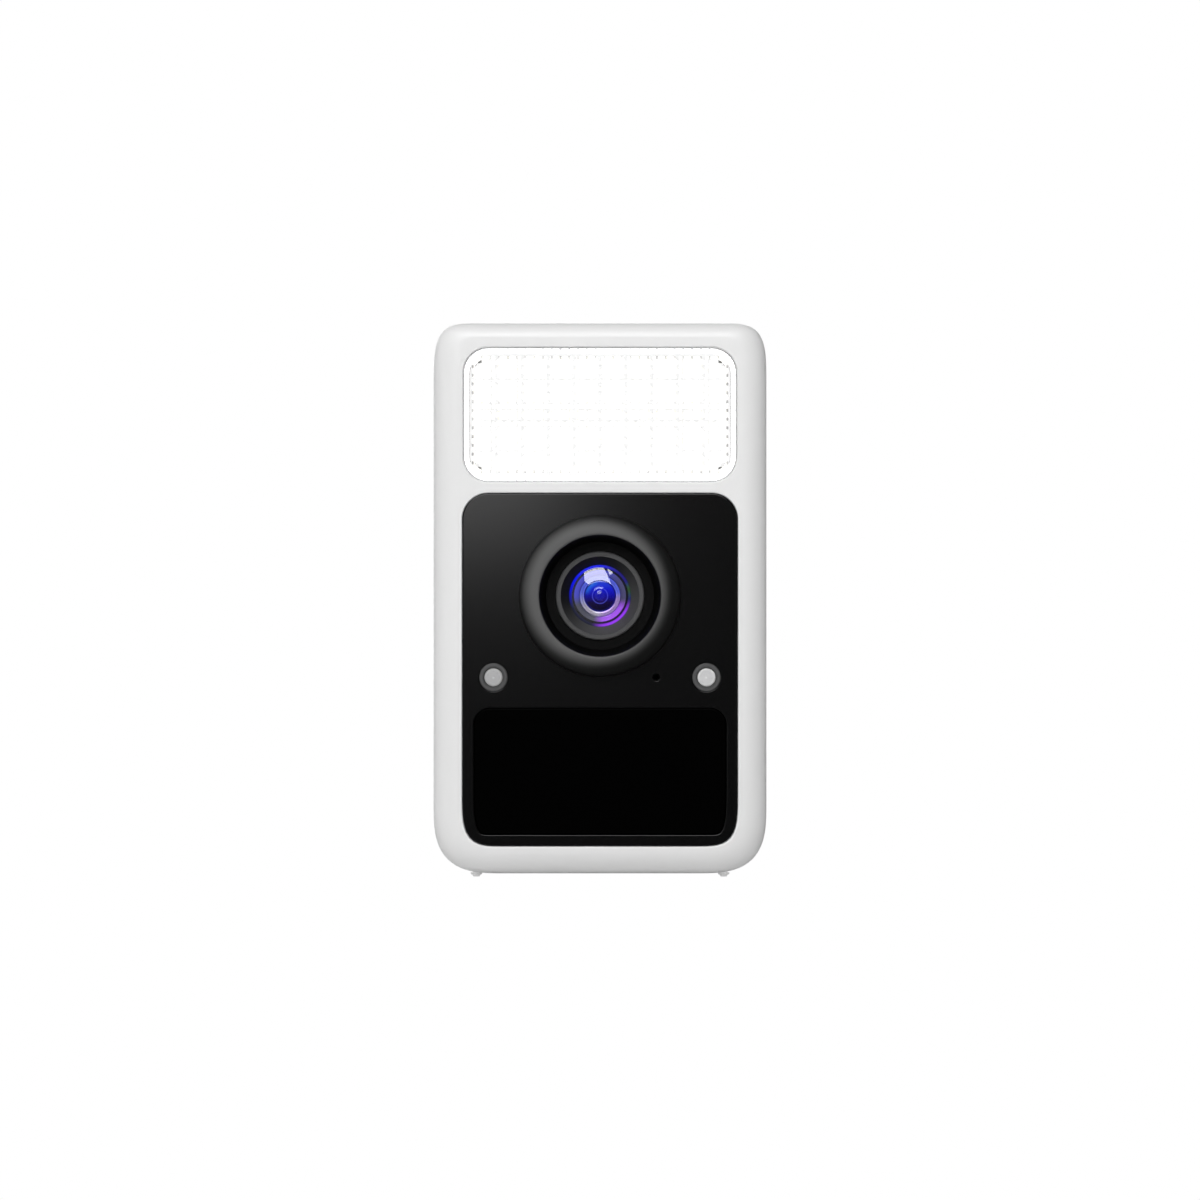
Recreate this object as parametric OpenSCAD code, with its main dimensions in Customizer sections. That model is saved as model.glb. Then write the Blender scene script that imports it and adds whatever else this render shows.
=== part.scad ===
// Battery floodlight security camera, as an assembly of separate pieces.
// Millimetres, +Z up, the front faces -Y, the feet stand on Z = 0.

/* [Body] */
// Width of the casing
body_w = 72; // [68:1:90]
// Height of the casing without its feet
body_h = 119; // [112:1:150]
// Depth of the casing from its front face to its rear face
body_d = 58; // [54:1:75]
// Thickness of the casing walls
wall = 2.4; // [1.8:0.1:3]
// Thickness of the front wall behind the panel and the light
front_wall = 4.4; // [3.6:0.1:5]
// Depth of the front shell
split_depth = 14; // [13.5:0.5:16]
// Open line between the two shells
split_gap = 0.5; // [0.3:0.1:0.8]
// How far the rounding of the front side edges reaches across the face
side_round = 6.2; // [3:0.1:6.3]
// How far the rounding of the front lower edge reaches up the face
low_round = 5.6; // [3:0.1:6]
// How far the rounding of the front top edge reaches down the face
high_round = 3.3; // [2:0.1:5]
// How far the front rounding reaches back along the sides
edge_depth = 5; // [3:0.1:8]
// Radius of the rounding around the rear face
rear_round = 5; // [3:0.5:7]

/* [Body corners] */
// Width of each lower corner curve
low_corner_w = 15.1; // [8:0.1:18]
// Height of each lower corner curve
low_corner_h = 14.9; // [8:0.1:18]
// Squareness of each lower corner curve, where 2 is an ellipse
low_corner_n = 3.05; // [2:0.05:5]
// Width of each upper corner curve
high_corner_w = 9.8; // [7:0.1:14]
// Height of each upper corner curve
high_corner_h = 13.3; // [7:0.1:18]
// Squareness of each upper corner curve
high_corner_n = 3.8; // [2:0.1:5]

/* [Floodlight] */
// Height of the light lens
light_h = 28.9; // [24:0.1:36]
// Casing left above the light lens
light_top_border = 5.4; // [4:0.1:8]
// Casing left at each side of the light lens
light_side_border = 6.55; // [5:0.05:10]
// Corner radius of the light lens
light_corner = 5.4; // [2:0.1:8]
// Casing left between the light lens and the panel
bridge_h = 2.55; // [2.2:0.05:5]
// Distance from one prism of the light lens to the next
prism_pitch = 1.893; // [1.5:0.001:4]
// Depth of the prisms
prism_depth = 0.7; // [0.3:0.1:1]
// LEDs across
led_columns = 10; // [2:1:12]
// LEDs in height
led_rows = 5; // [1:1:6]
// Width of one LED package
led_size = 2; // [1.6:0.1:3.5]
// Number of heatsink fins
fin_count = 9; // [3:1:14]
// Depth the heatsink fins stand out
fin_depth = 5.5; // [2:0.1:5.5]

/* [Front panel] */
// Casing left below the panel
panel_low_border = 6.04; // [5:0.01:10]
// Casing left at each side of the panel
panel_side_border = 6.325; // [5:0.005:10]
// Corner radius at the top of the panel
panel_high_corner = 5.6; // [2:0.1:8]
// Width of the panel's lower corner curves
panel_low_corner_w = 9.2; // [3:0.1:12]
// Height of the panel's lower corner curves
panel_low_corner_h = 11.8; // [3:0.1:14]
// How far the panel and the light lens sit below the face
panel_sink = 0.3; // [0.1:0.05:0.8]
// Thickness of the panel and the light lens
panel_t = 2; // [1.5:0.1:2.5]
// Thickness of the seals behind them
seal_t = 0.3; // [0.2:0.05:0.8]
// Gap around the panel and the light lens
panel_gap = 0.12; // [0.05:0.01:0.3]

/* [Camera head] */
// Distance from the top of the panel down to the lens axis
lens_drop = 22.1; // [20:0.1:30]
// Outer radius of the raised bezel
bezel_r = 17.5; // [16:0.1:20]
// Radius of the bezel's lip
bezel_lip_r = 13.6; // [12.6:0.1:14]
// How far the bezel stands out of the casing face
bezel_out = 2.6; // [1:0.1:4]
// Radius of the bezel's throat
throat_r = 11.65; // [11.2:0.05:12.2]
// Radius of the bezel's skirt in the panel
skirt_r = 15; // [14.6:0.1:15.4]
// Gap around the skirt
skirt_gap = 0.1; // [0.03:0.01:0.2]
// Radius of the lens barrel's head
barrel_r = 9.55; // [8.8:0.05:10.2]
// Radius where the barrel's rim turns into the retaining ring
rim_r = 8.5; // [7.8:0.1:9]
// Radius of the glass that shows
glass_r = 6.7; // [5:0.1:7]
// Radius of the barrel's threaded end
thread_r = 6; // [5.5:0.1:6.5]
// Radius of curvature of the front glass
glass_curve_r = 14; // [10:0.5:30]
// Gap between the lens thread and its mount
thread_gap = 0.05; // [0.02:0.01:0.1]

/* [Day and night filter] */
// Length of the swing arm from pivot to pin
arm_r = 7.5; // [6.5:0.1:8]
// Half of the arm's swing, in degrees
arm_half_swing = 20; // [10:1:22]
// Radius of the arm's pin
arm_pin_r = 0.5; // [0.4:0.05:0.7]
// Gap at each side of the pin in its slot
arm_pin_gap = 0.1; // [0.06:0.01:0.2]
// Radius of the pivot shaft
pivot_r = 0.5; // [0.4:0.05:0.8]
// Gap around the pivot shaft
pivot_gap = 0.06; // [0.02:0.01:0.1]
// Radius of the rotor
rotor_r = 2.1; // [1.6:0.1:2.2]
// Gap around the filter slider in its guides
slider_gap = 0.06; // [0.03:0.01:0.1]

/* [Sensors] */
// Distance from the lens axis down to the two small windows
window_drop = 17.6; // [17:0.1:20]
// Distance of each small window from the centre line
window_x = 23; // [20:0.1:24]
// Outer radius of each window collar
collar_r = 3.06; // [2.6:0.01:4]
// Radius of each small window
window_r = 1.95; // [1.2:0.05:2.4]
// Radius of the infrared LEDs
ir_led_r = 1.5; // [1:0.1:1.9]
// Distance of the microphone hole from the centre line
mic_x = 12.15; // [8:0.05:14]
// Radius of the microphone hole
mic_r = 0.87; // [0.4:0.01:1.2]
// Panel left at each side of the motion-sensor lens
pir_side_border = 2.375; // [2.2:0.005:5]
// Panel left below the motion-sensor lens
pir_low_border = 2.44; // [2.3:0.01:5]
// Height of the motion-sensor lens
pir_h = 27.4; // [20:0.1:28]
// Gap around the motion-sensor lens
pir_gap = 0.1; // [0.05:0.01:0.2]

/* [Power] */
// Radius of one battery cell
cell_r = 9.2; // [8.5:0.1:9.4]
// Length of one battery cell
cell_l = 65; // [50:0.5:66]
// Distance of each cell's axis from the side of the casing
cell_inset = 16; // [14:0.5:17]
// Distance of the cell axes from the rear face
cell_back = 12; // [11.8:0.1:14]

/* [Rear] */
// Outer radius of the brass insert
insert_r = 4; // [3.4:0.1:4.4]
// Radius of the insert's thread, for a camera screw
insert_bore_r = 2.6; // [2:0.1:2.8]
// Length of the insert
insert_l = 9.2; // [6:0.1:10]
// Half of the width of the service door
door_half_w = 19.8; // [18:0.1:20]
// Height of the service door
door_h = 13.5; // [13:0.1:15]
// Thickness of the service door
door_t = 2.2; // [1.8:0.1:2.4]
// Gap around the service door
door_gap = 0.2; // [0.15:0.01:0.3]
// Gap under the hinge edge, which lets the door swing past level
door_swing_gap = 0.4; // [0.3:0.05:0.6]
// Radius of the hinge pin
door_pin_r = 0.6; // [0.5:0.05:0.8]
// Gap between the hinge pin and the door
door_pin_gap = 0.05; // [0.02:0.01:0.1]
// Depth of the service bay below the rear face
bay_depth = 8.6; // [8.4:0.1:9]
// Radius of the power button
power_r = 2; // [1.4:0.1:2.2]
// Radius of the reset button
reset_r = 1.2; // [0.8:0.1:1.6]
// Gap around each button
button_gap = 0.1; // [0.05:0.01:0.2]
// Width of the memory card
card_w = 11; // [10.5:0.1:11.2]
// Length of the memory card
card_l = 15; // [14:0.1:16]
// Thickness of the memory card
card_t = 0.8; // [0.7:0.05:1]
// Gap around the memory card
card_gap = 0.1; // [0.05:0.01:0.2]
// Width of the USB port
usb_w = 9; // [8.6:0.1:9.2]
// Height of the USB port
usb_h = 3.3; // [3:0.1:3.4]

/* [Feet] */
// How far the feet lift the casing
foot_h = 0.8; // [0.5:0.1:3]
// Distance of each foot from the centre line
foot_x = 26.8; // [20:0.1:27]
// Radius of a foot at the floor
foot_tip_r = 0.65; // [0.5:0.05:2]
// Radius of a foot's collar
foot_collar_r = 1.25; // [1:0.05:3]

/* [Fasteners] */
// Radius of the shell screws
shell_screw_r = 1.25; // [1:0.05:1.5]
// Radius of the shell screws' heads
shell_head_r = 2.3; // [1.9:0.1:2.5]
// Radius of the board screws
board_screw_r = 0.9; // [0.7:0.05:1]
// Radius of the board screws' heads
board_head_r = 1.7; // [1.4:0.1:1.8]
// Gap around a screw in its pilot hole
pilot_gap = 0.05; // [0.02:0.01:0.1]
// Gap around a screw in a plain hole
screw_gap = 0.15; // [0.1:0.05:0.3]
// Radius of the plugs over the shell screws
plug_r = 2.6; // [2.4:0.1:2.9]

/* [Detail] */
// Straight lines in each corner curve
corner_steps = 9; // [4:1:12]

/* [Hidden] */
eps = 0.01;
half_w = body_w / 2;
z_bottom = foot_h;
z_top = foot_h + body_h;
y_front = -body_d / 2 + bezel_out / 2;

low_corner = [low_corner_w, low_corner_h, low_corner_n];
high_corner = [high_corner_w, high_corner_h, high_corner_n];

light_z1 = z_top - light_top_border;
light_z0 = light_z1 - light_h;
light_half = half_w - light_side_border;
light_box = [light_half, light_z0, light_z1, [light_corner, light_corner, 2], [light_corner, light_corner, 2]];

panel_z0 = z_bottom + panel_low_border;
panel_z1 = light_z0 - bridge_h;
panel_half = half_w - panel_side_border;
panel_low = [panel_low_corner_w, panel_low_corner_h, 3.84];
panel_high = [panel_high_corner, panel_high_corner, 2];
panel_box = [panel_half, panel_z0, panel_z1, panel_low, panel_high];

pir_half = panel_half - pir_side_border;
pir_z0 = panel_z0 + pir_low_border;
pir_box = [pir_half, pir_z0, pir_z0 + pir_h, [3.7, 12.6, 4.2], [3.6, 3.6, 2]];
pir_z = pir_z0 + pir_h / 2;

lens_z = panel_z1 - lens_drop;
window_z = lens_z - window_drop;

// Depths measured back from the front face
panel_back = panel_sink + panel_t;
ledge = panel_back + seal_t;
ledge_w = 1.2;
board_t = 1.2;
front_board_t0 = 12;
light_board_t0 = 9.4;
light_board_t = 1.4;
heatsink_t = 1.5;
sensor_board_t0 = 19.4;
sensor_board_t = 1.6;
chassis_t0 = 24;
chassis_t = 2;
chassis_t1 = chassis_t0 + chassis_t;
main_board_t0 = 28;
main_board_t = 1.6;
main_board_t1 = main_board_t0 + main_board_t;

main_boss_x = half_w - 5.4;
main_boss_r = 2.3;
main_low_z = z_bottom + 21.2;
main_high_z = z_top - 15.8;
tube_r = plug_r + 1;
screw_seat = chassis_t1 + 4;
shell_screw_l = 16;

light_boss_x = 20;
light_boss_low = light_z0 - 1.25;
light_boss_high = light_z1 + 0.9;
light_boss_r = 1.9;

front_pitch_z = window_z - 2.3;
cell_x = half_w - cell_inset;
cell_depth = body_d - cell_back;
cell_mid = (main_low_z + main_high_z) / 2 - 1.5;
cell_z0 = cell_mid - cell_l / 2;
bracket_t0 = 33;
bracket_t = 1.6;
post_up = 15;

door_z = z_bottom + 9.4;
door_depth = body_d - 0.2 - door_t / 2;
door_r = door_t / 2;
door_z0 = door_z - door_r;
door_z1 = door_z0 + door_h;
bay_floor = body_d - bay_depth;
bay_half = door_half_w - 0.8;
bay_z0 = door_z0 + 0.9;
bay_z1 = door_z1 - 0.8;
recess_half = door_half_w + door_gap;
recess_depth = body_d - door_t - 0.4;
bay_wall = 2;

port_board_z = z_bottom + 11.2;
port_top = port_board_z + board_t;
usb_x = -12.5;
card_x = 2.4;
socket_side = 0.6;
switch_half = 1.9;
button_side_gap = 0.8;
button_pitch = 5;
power_x = bay_half - power_r - button_side_gap;
reset_x = max(power_x - button_pitch, card_x + card_w / 2 + socket_side + switch_half + 0.1);
usb_z = port_top + usb_h / 2;
card_z = port_top + 0.8;
button_z = port_top + 2.8;
button_travel = 0.5;
card_out = 1;
card_travel = 3;

speaker_r = 10;
speaker_depth = 34;
foot_top = z_bottom + 0.1;
foot_barb = z_bottom + wall + 1.2;
foot_front_depth = 9;
foot_rear_depth = body_d - 11;

filter_pitch = 2 * arm_r * sin(arm_half_swing);
pivot_z = lens_z + 12.5;
slider_t0 = 16.65;
slider_t = 0.7;
arm_t0 = 17.5;
arm_t = 0.6;

// ---------- shared shapes ----------

// Places something at a width, a depth behind the front face and a height.
module at(x, depth, z) {
  translate([x, y_front + depth, z]) children();
}

// A flat shape drawn in width and height, given thickness between two depths.
module plate(depth0, depth1) {
  translate([0, y_front + depth1, 0])
    rotate([90, 0, 0])
      linear_extrude(depth1 - depth0)
        children();
}

// A round rod along the depth direction.
module rod(x, z, depth0, depth1, r) {
  at(x, depth0, z)
    rotate([-90, 0, 0])
      cylinder(h = depth1 - depth0, r = r, $fn = 48);
}

// A ring or lens turned about a line along the depth direction.
module turned(x, z) {
  at(x, 0, z)
    rotate([-90, 0, 0])
      rotate_extrude($fn = 96)
        children();
}

// A box given by its corners in width, depth and height.
module block(x0, x1, depth0, depth1, z0, z1) {
  at(x0, depth0, z0)
    cube([x1 - x0, depth1 - depth0, z1 - z0]);
}

function corner_point(c, p) = [
  c[0] * (1 - pow(cos(p), 2 / c[2])),
  c[1] * (1 - pow(sin(p), 2 / c[2]))
];
function step_angle(i) = 90 * i / corner_steps;
function ring_points(h, z0, z1, low, high) = concat(
  [for (i = [0:corner_steps]) let (q = corner_point(low, 90 - step_angle(i))) [h - q[0], z0 + q[1]]],
  [for (i = [0:corner_steps]) let (q = corner_point(high, step_angle(i))) [h - q[0], z1 - q[1]]],
  [for (i = [0:corner_steps]) let (q = corner_point(high, 90 - step_angle(i))) [q[0] - h, z1 - q[1]]],
  [for (i = [0:corner_steps]) let (q = corner_point(low, step_angle(i))) [q[0] - h, z0 + q[1]]]
);
// A straight slot with round ends, lying along the first axis
function slot_points(half, r) = concat(
  [for (i = [0:8]) [half + r * sin(22.5 * i), -r * cos(22.5 * i)]],
  [for (i = [0:8]) [-half - r * sin(22.5 * i), r * cos(22.5 * i)]]
);
function shrink(c, d) = [max(c[0] - d, 0.3), max(c[1] - d, 0.3), c[2]];

// A rounded outline, moved inwards by a distance (outwards when negative).
module outline(o, inset = 0) {
  polygon(ring_points(o[0] - inset, o[1] + inset, o[2] - inset, shrink(o[3], inset), shrink(o[4], inset)));
}

// The casing's outline with its own distance in at the sides, the bottom and the top.
module body_slice(side, low, high) {
  polygon(ring_points(
    half_w - side, z_bottom + low, z_top - high,
    [low_corner[0] - side, low_corner[1] - low, low_corner[2]],
    [high_corner[0] - side, high_corner[1] - high, high_corner[2]]
  ));
}

module body_ring(inset0, inset1) {
  difference() {
    body_slice(inset0, inset0, inset0);
    body_slice(inset1, inset1, inset1);
  }
}

module outline_ring(o, inset0, inset1) {
  difference() {
    outline(o, inset0);
    outline(o, inset1);
  }
}

module at_main_bosses() {
  for (side = [-1, 1], z = [main_low_z, main_high_z])
    translate([side * main_boss_x, 0, z])
      children();
}

module at_light_bosses() {
  for (side = [-1, 1], z = [light_boss_low, light_boss_high])
    translate([side * light_boss_x, 0, z])
      children();
}

// A screw along the depth direction; turn = 1 points it back, -1 points it forward.
module screw(x, z, depth, turn, r, length, head_r, head_h) {
  at(x, depth, z)
    rotate([-90 * turn, 0, 0])
      difference() {
        union() {
          cylinder(h = length, r = r, $fn = 32);
          translate([0, 0, -head_h])
            cylinder(h = head_h, r1 = head_r * 0.86, r2 = head_r, $fn = 32);
        }
        translate([0, 0, -head_h - eps])
          cylinder(h = head_h * 0.6, r = head_r * 0.42, $fn = 6);
      }
}

// A wire through a list of points given as width, depth and height.
module wire(points, r) {
  for (i = [0:len(points) - 2])
    wire_run(points[i], points[i + 1], r);
  for (i = [1:len(points) - 2])
    at(points[i][0], points[i][1], points[i][2])
      sphere(r = r, $fn = 24);
}

module wire_run(a, b, r) {
  d = b - a;
  l = norm(d);
  at(a[0], a[1], a[2])
    rotate([0, acos(d[2] / l), atan2(d[1], d[0])])
      cylinder(h = l, r = r, $fn = 24);
}

// ---------- casing ----------

function front_in(p) = 1 - sin(p);

module front_outer() {
  hull() {
    for (p = [0:18:72])
      plate(edge_depth * (1 - cos(p)), edge_depth * (1 - cos(p)) + eps)
        body_slice(side_round * front_in(p), low_round * front_in(p), high_round * front_in(p));
    plate(edge_depth, split_depth)
      body_slice(0, 0, 0);
  }
}

module rear_outer() {
  hull() {
    plate(split_depth + split_gap, body_d - rear_round)
      body_slice(0, 0, 0);
    for (p = [0:18:72])
      plate(body_d - rear_round * (1 - cos(p)) - eps, body_d - rear_round * (1 - cos(p)))
        body_slice(rear_round * front_in(p), rear_round * front_in(p), rear_round * front_in(p));
  }
}

module rear_cavity() {
  hull() {
    plate(split_depth - 1, body_d - rear_round)
      body_slice(wall, wall, wall);
    plate(body_d - wall - eps, body_d - wall)
      body_slice(rear_round, rear_round, rear_round);
  }
}

module front_shell() {
  color("gainsboro")
    difference() {
      union() {
        difference() {
          front_outer();
          plate(front_wall, split_depth + 1)
            body_slice(wall, wall, wall);
        }
        at_main_bosses()
          rod(0, 0, front_wall - 0.4, chassis_t0, main_boss_r);
        for (side = [-1, 1], z = [main_low_z, main_high_z])
          block(
            side * main_boss_x + (side < 0 ? -3 : 0), side * main_boss_x + (side < 0 ? 0 : 3),
            front_wall - 0.4, split_depth - 1, z - 0.8, z + 0.8
          );
        at_light_bosses()
          rod(0, 0, front_wall - 0.4, light_board_t0, light_boss_r);
      }
      plate(-1, ledge)
        outline(panel_box, -panel_gap);
      plate(ledge - 0.1, front_wall + 0.5)
        outline(panel_box, ledge_w);
      plate(-1, ledge)
        outline(light_box, -panel_gap);
      plate(ledge - 0.1, front_wall + 0.5)
        outline(light_box, ledge_w);
      plate(split_depth - 0.6, split_depth + 1)
        body_ring(0.9, 2);
      at_main_bosses()
        rod(0, 0, screw_seat - shell_screw_l - 1, chassis_t0 + 1, shell_screw_r + pilot_gap);
      at_light_bosses()
        rod(0, 0, front_wall + 0.4, light_board_t0 + 1, board_screw_r + pilot_gap);
      foot_holes(foot_front_depth);
    }
}

module foot_holes(depth) {
  for (side = [-1, 1])
    at(side * foot_x, depth, 0) {
      cylinder(h = z_bottom + wall + 3, r = foot_tip_r + 0.2, $fn = 32);
      cylinder(h = foot_top, r = foot_collar_r + 0.1, $fn = 48);
    }
}

module bay_block() {
  block(
    -recess_half - bay_wall, recess_half + bay_wall,
    bay_floor - bay_wall, body_d - wall, door_z0 - 1.6, door_z1 + 1.8
  );
}

module bay_cuts() {
  // The space in front of the ports
  block(-bay_half, bay_half, bay_floor, body_d + 1, bay_z0, bay_z1);
  // The seat of the door
  block(
    -recess_half, recess_half, recess_depth, body_d + 1,
    door_z0 - door_swing_gap, door_z1 + door_gap
  );
  // Finger notch above the door
  rod(0, door_z1 + door_gap, body_d - 1.7, body_d + 1, 4);
  // Hinge pin seats
  at(-recess_half - 1.4, door_depth, door_z)
    rotate([0, 90, 0])
      cylinder(h = 2 * recess_half + 2.8, r = door_pin_r, $fn = 32);
  // USB port
  port_slot(usb_x, usb_z, usb_w / 2 + 0.15, usb_h / 2 + 0.15);
  // Memory card
  block(
    card_x - card_w / 2 - card_gap, card_x + card_w / 2 + card_gap,
    bay_floor - bay_wall - 1, bay_floor + 1,
    card_z - card_gap, card_z + card_t + card_gap
  );
  rod(reset_x, button_z, bay_floor - bay_wall - 1, bay_floor + 1, reset_r + button_gap);
  rod(power_x, button_z, bay_floor - bay_wall - 1, bay_floor + 1, power_r + button_gap);
}

module port_slot(x, z, half, high) {
  plate(bay_floor - bay_wall - 1, bay_floor + 1)
    translate([x, z])
      polygon(slot_points(half - high, high));
}

module rear_shell() {
  color("whitesmoke")
    difference() {
      union() {
        difference() {
          rear_outer();
          rear_cavity();
        }
        for (side = [-1, 1], z = [main_low_z, main_high_z])
          block(
            side * main_boss_x - (side < 0 ? 4 : tube_r), side * main_boss_x + (side < 0 ? tube_r : 4),
            chassis_t1, body_d - 2.1, z - tube_r, z + tube_r
          );
        for (side = [-1, 1])
          rod(0, cell_mid + side * post_up, bracket_t0 + bracket_t, body_d - 1, 3);
        rod(0, cell_mid, body_d - insert_l - 1.2, body_d - 1, insert_r + 2);
        for (z = [cell_mid - 26, cell_mid + 26])
          difference() {
            block(-cell_x - cell_r + 1, cell_x + cell_r - 1, body_d - 7, body_d - wall + 0.4, z - 1, z + 1);
            cells(0.1);
          }
        for (side = [-1, 1])
          at(side * 14.5, 39.5, z_bottom + wall - 0.4)
            cylinder(h = port_board_z - z_bottom - wall + 0.4, r = 2, $fn = 32);
      }
      plate(split_depth, split_depth + split_gap + 0.6)
        body_ring(0.9, 2);
      at_main_bosses()
        rod(0, 0, chassis_t1 - 1, body_d + 1, shell_screw_r + screw_gap);
      at_main_bosses()
        rod(0, 0, screw_seat, body_d + 1, plug_r);
      for (side = [-1, 1])
        rod(0, cell_mid + side * post_up, bracket_t0, bracket_t0 + bracket_t + 8, board_screw_r + pilot_gap);
      rod(0, cell_mid, body_d - insert_l - 0.2, body_d + 1, insert_r);
      bay_cuts();
      for (side = [-1, 1])
        at(side * 14.5, 39.5, z_bottom + wall + 2)
          cylinder(h = port_board_z, r = board_screw_r + pilot_gap, $fn = 32);
      foot_holes(foot_rear_depth);
      speaker_grille();
    }
}

// The tub behind the service door, bonded to the inside of the rear shell.
module port_bay() {
  color("whitesmoke")
    difference() {
      bay_block();
      bay_cuts();
    }
}

module speaker_grille() {
  for (i = [-2:2])
    for (side = [-1, 1])
      at(i * 2.6, speaker_depth + side * 3.4, z_bottom - 1)
        rotate([0, 0, 90])
          linear_extrude(wall + 2)
            polygon(slot_points(2.2, 0.6));
}

module shell_seal() {
  color("dimgray")
    plate(split_depth - 0.6, split_depth + split_gap + 0.6)
      body_ring(0.9, 2);
}

module shell_screws() {
  color("silver")
    at_main_bosses()
      screw(0, 0, screw_seat, -1, shell_screw_r, shell_screw_l, shell_head_r, 1.8);
}

module screws() {
  shell_screws();
  board_screws();
}

module screw_plugs() {
  color("lightgray")
    at_main_bosses()
      difference() {
        rod(0, 0, body_d - 6, body_d - 1.1, plug_r);
        rod(0, 0, body_d - 7, body_d - 2.6, plug_r - 0.9);
      }
}

module feet() {
  color("darkgray")
    for (side = [-1, 1], depth = [foot_front_depth, foot_rear_depth])
      at(side * foot_x, depth, 0)
        rotate_extrude($fn = 40)
          polygon([
            [0, 0], [foot_tip_r, 0], [foot_tip_r + 0.2, 0.35], [foot_collar_r - 0.1, 0.5],
            [foot_collar_r, 0.65], [foot_collar_r, foot_top], [foot_tip_r + 0.2, foot_top],
            [foot_tip_r + 0.2, foot_barb], [foot_tip_r + 0.9, foot_barb + 0.15],
            [foot_tip_r + 0.2, foot_barb + 1.3], [0, foot_barb + 1.6]
          ]);
}

// ---------- floodlight ----------

module light_lens() {
  color("white")
    difference() {
      plate(panel_sink, panel_back)
        outline(light_box);
      light_prisms();
    }
}

// Square pyramids on the back of the lens, as what two sets of grooves leave behind.
module light_prisms() {
  rows = floor((light_h - 2 * ledge_w) / prism_pitch);
  cols = floor((2 * light_half - 2 * ledge_w) / prism_pitch);
  x0 = -cols * prism_pitch / 2;
  z0 = (light_z0 + light_z1) / 2 - rows * prism_pitch / 2;
  intersection() {
    union() {
      translate([0, y_front + panel_back + eps, 0])
        linear_extrude(z_top + 10)
          polygon(concat(
            [[x0, 0]],
            [for (i = [0:cols - 1]) for (k = [0, 1])
              [x0 + (i + k * 0.5) * prism_pitch, k == 0 ? -prism_depth - eps : 0]],
            [[-x0, -prism_depth - eps], [-x0, 0]]
          ));
      translate([-half_w, y_front + panel_back + eps, 0])
        rotate([90, 0, 90])
          linear_extrude(body_w)
            polygon(concat(
              [[0, z0]],
              [for (i = [0:rows - 1]) for (k = [0, 1])
                [k == 0 ? -prism_depth - eps : 0, z0 + (i + k * 0.5) * prism_pitch]],
              [[-prism_depth - eps, z0 + rows * prism_pitch], [0, z0 + rows * prism_pitch]]
            ));
    }
    plate(panel_sink, panel_back + 1)
      outline([-x0, z0, z0 + rows * prism_pitch, [3.4, 3.4, 2], [3.4, 3.4, 2]]);
  }
}

module light_seal() {
  color("darkgray")
    plate(panel_back, ledge)
      outline_ring(light_box, 0.1, ledge_w - 0.05);
}

function led_x(i) = (i - (led_columns - 1) / 2) * (2 * light_half - 3) / led_columns;
function led_z(j) = (light_z0 + light_z1) / 2 + (j - (led_rows - 1) / 2) * (light_h - 3) / led_rows;

module light_reflector() {
  cell = min((2 * light_half - 3) / led_columns, (light_h - 3) / led_rows) - 0.4;
  color("white")
    difference() {
      plate(front_wall + 0.2, light_board_t0)
        outline(light_box, ledge_w + 0.1);
      for (i = [0:led_columns - 1], j = [0:led_rows - 1])
        at(led_x(i), front_wall + 0.2 - eps, led_z(j))
          rotate([-90, 0, 0])
            rotate([0, 0, 45])
              cylinder(
                h = light_board_t0 - front_wall - 0.2 + 2 * eps,
                r1 = cell / sqrt(2), r2 = (led_size + 0.8) / sqrt(2), $fn = 4
              );
    }
}

module light_board() {
  color("whitesmoke")
    difference() {
      block(
        -light_half + 1.4, light_half - 1.4, light_board_t0, light_board_t0 + light_board_t,
        light_z0 - 2.9, z_top - wall - 0.4
      );
      at_light_bosses()
        rod(0, 0, light_board_t0 - 1, light_board_t0 + light_board_t + 1, board_screw_r + screw_gap);
    }
}

module light_leds() {
  color("gold")
    for (i = [0:led_columns - 1], j = [0:led_rows - 1])
      at(led_x(i), light_board_t0 - 0.7, led_z(j))
        translate([-led_size / 2, 0, -led_size / 2])
          cube([led_size, 0.7, led_size]);
}

module light_heatsink() {
  t0 = light_board_t0 + light_board_t;
  x1 = light_half - 1.4;
  z0 = light_z0 - 2.9;
  z1 = z_top - wall - 0.4;
  color("darkgray")
    difference() {
      union() {
        block(-x1, x1, t0, t0 + heatsink_t, z0, z1);
        for (i = [0:fin_count - 1])
          block(
            -x1 + 2 + i * (2 * x1 - 5) / (fin_count - 1), -x1 + 3 + i * (2 * x1 - 5) / (fin_count - 1),
            t0 + heatsink_t - eps, t0 + heatsink_t + fin_depth, z0 + 1, z1 - 1
          );
      }
      at_light_bosses()
        rod(0, 0, t0 - 1, t0 + heatsink_t + 1, board_screw_r + screw_gap);
      at_light_bosses()
        rod(0, 0, t0 + heatsink_t, t0 + heatsink_t + fin_depth + 1, board_head_r + 0.4);
    }
}

// ---------- front panel and lens ----------

module front_panel() {
  color([0.06, 0.06, 0.07])
    difference() {
      plate(panel_sink, panel_back)
        outline(panel_box);
      rod(0, lens_z, -1, panel_back + 1, skirt_r + skirt_gap);
      for (side = [-1, 1])
        rod(side * window_x, window_z, -1, panel_back + 1, collar_r + 0.12);
      rod(mic_x, window_z, -1, panel_back + 1, mic_r);
      plate(-1, panel_back + 1)
        outline(pir_box, -pir_gap);
    }
}

module panel_seal() {
  color([0.2, 0.2, 0.2])
    plate(panel_back, ledge)
      outline_ring(panel_box, 0.1, ledge_w - 0.05);
}

bezel_w = bezel_r - bezel_lip_r;
bezel_rise = bezel_out + panel_sink;
lip_w = 0.45;

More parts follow.
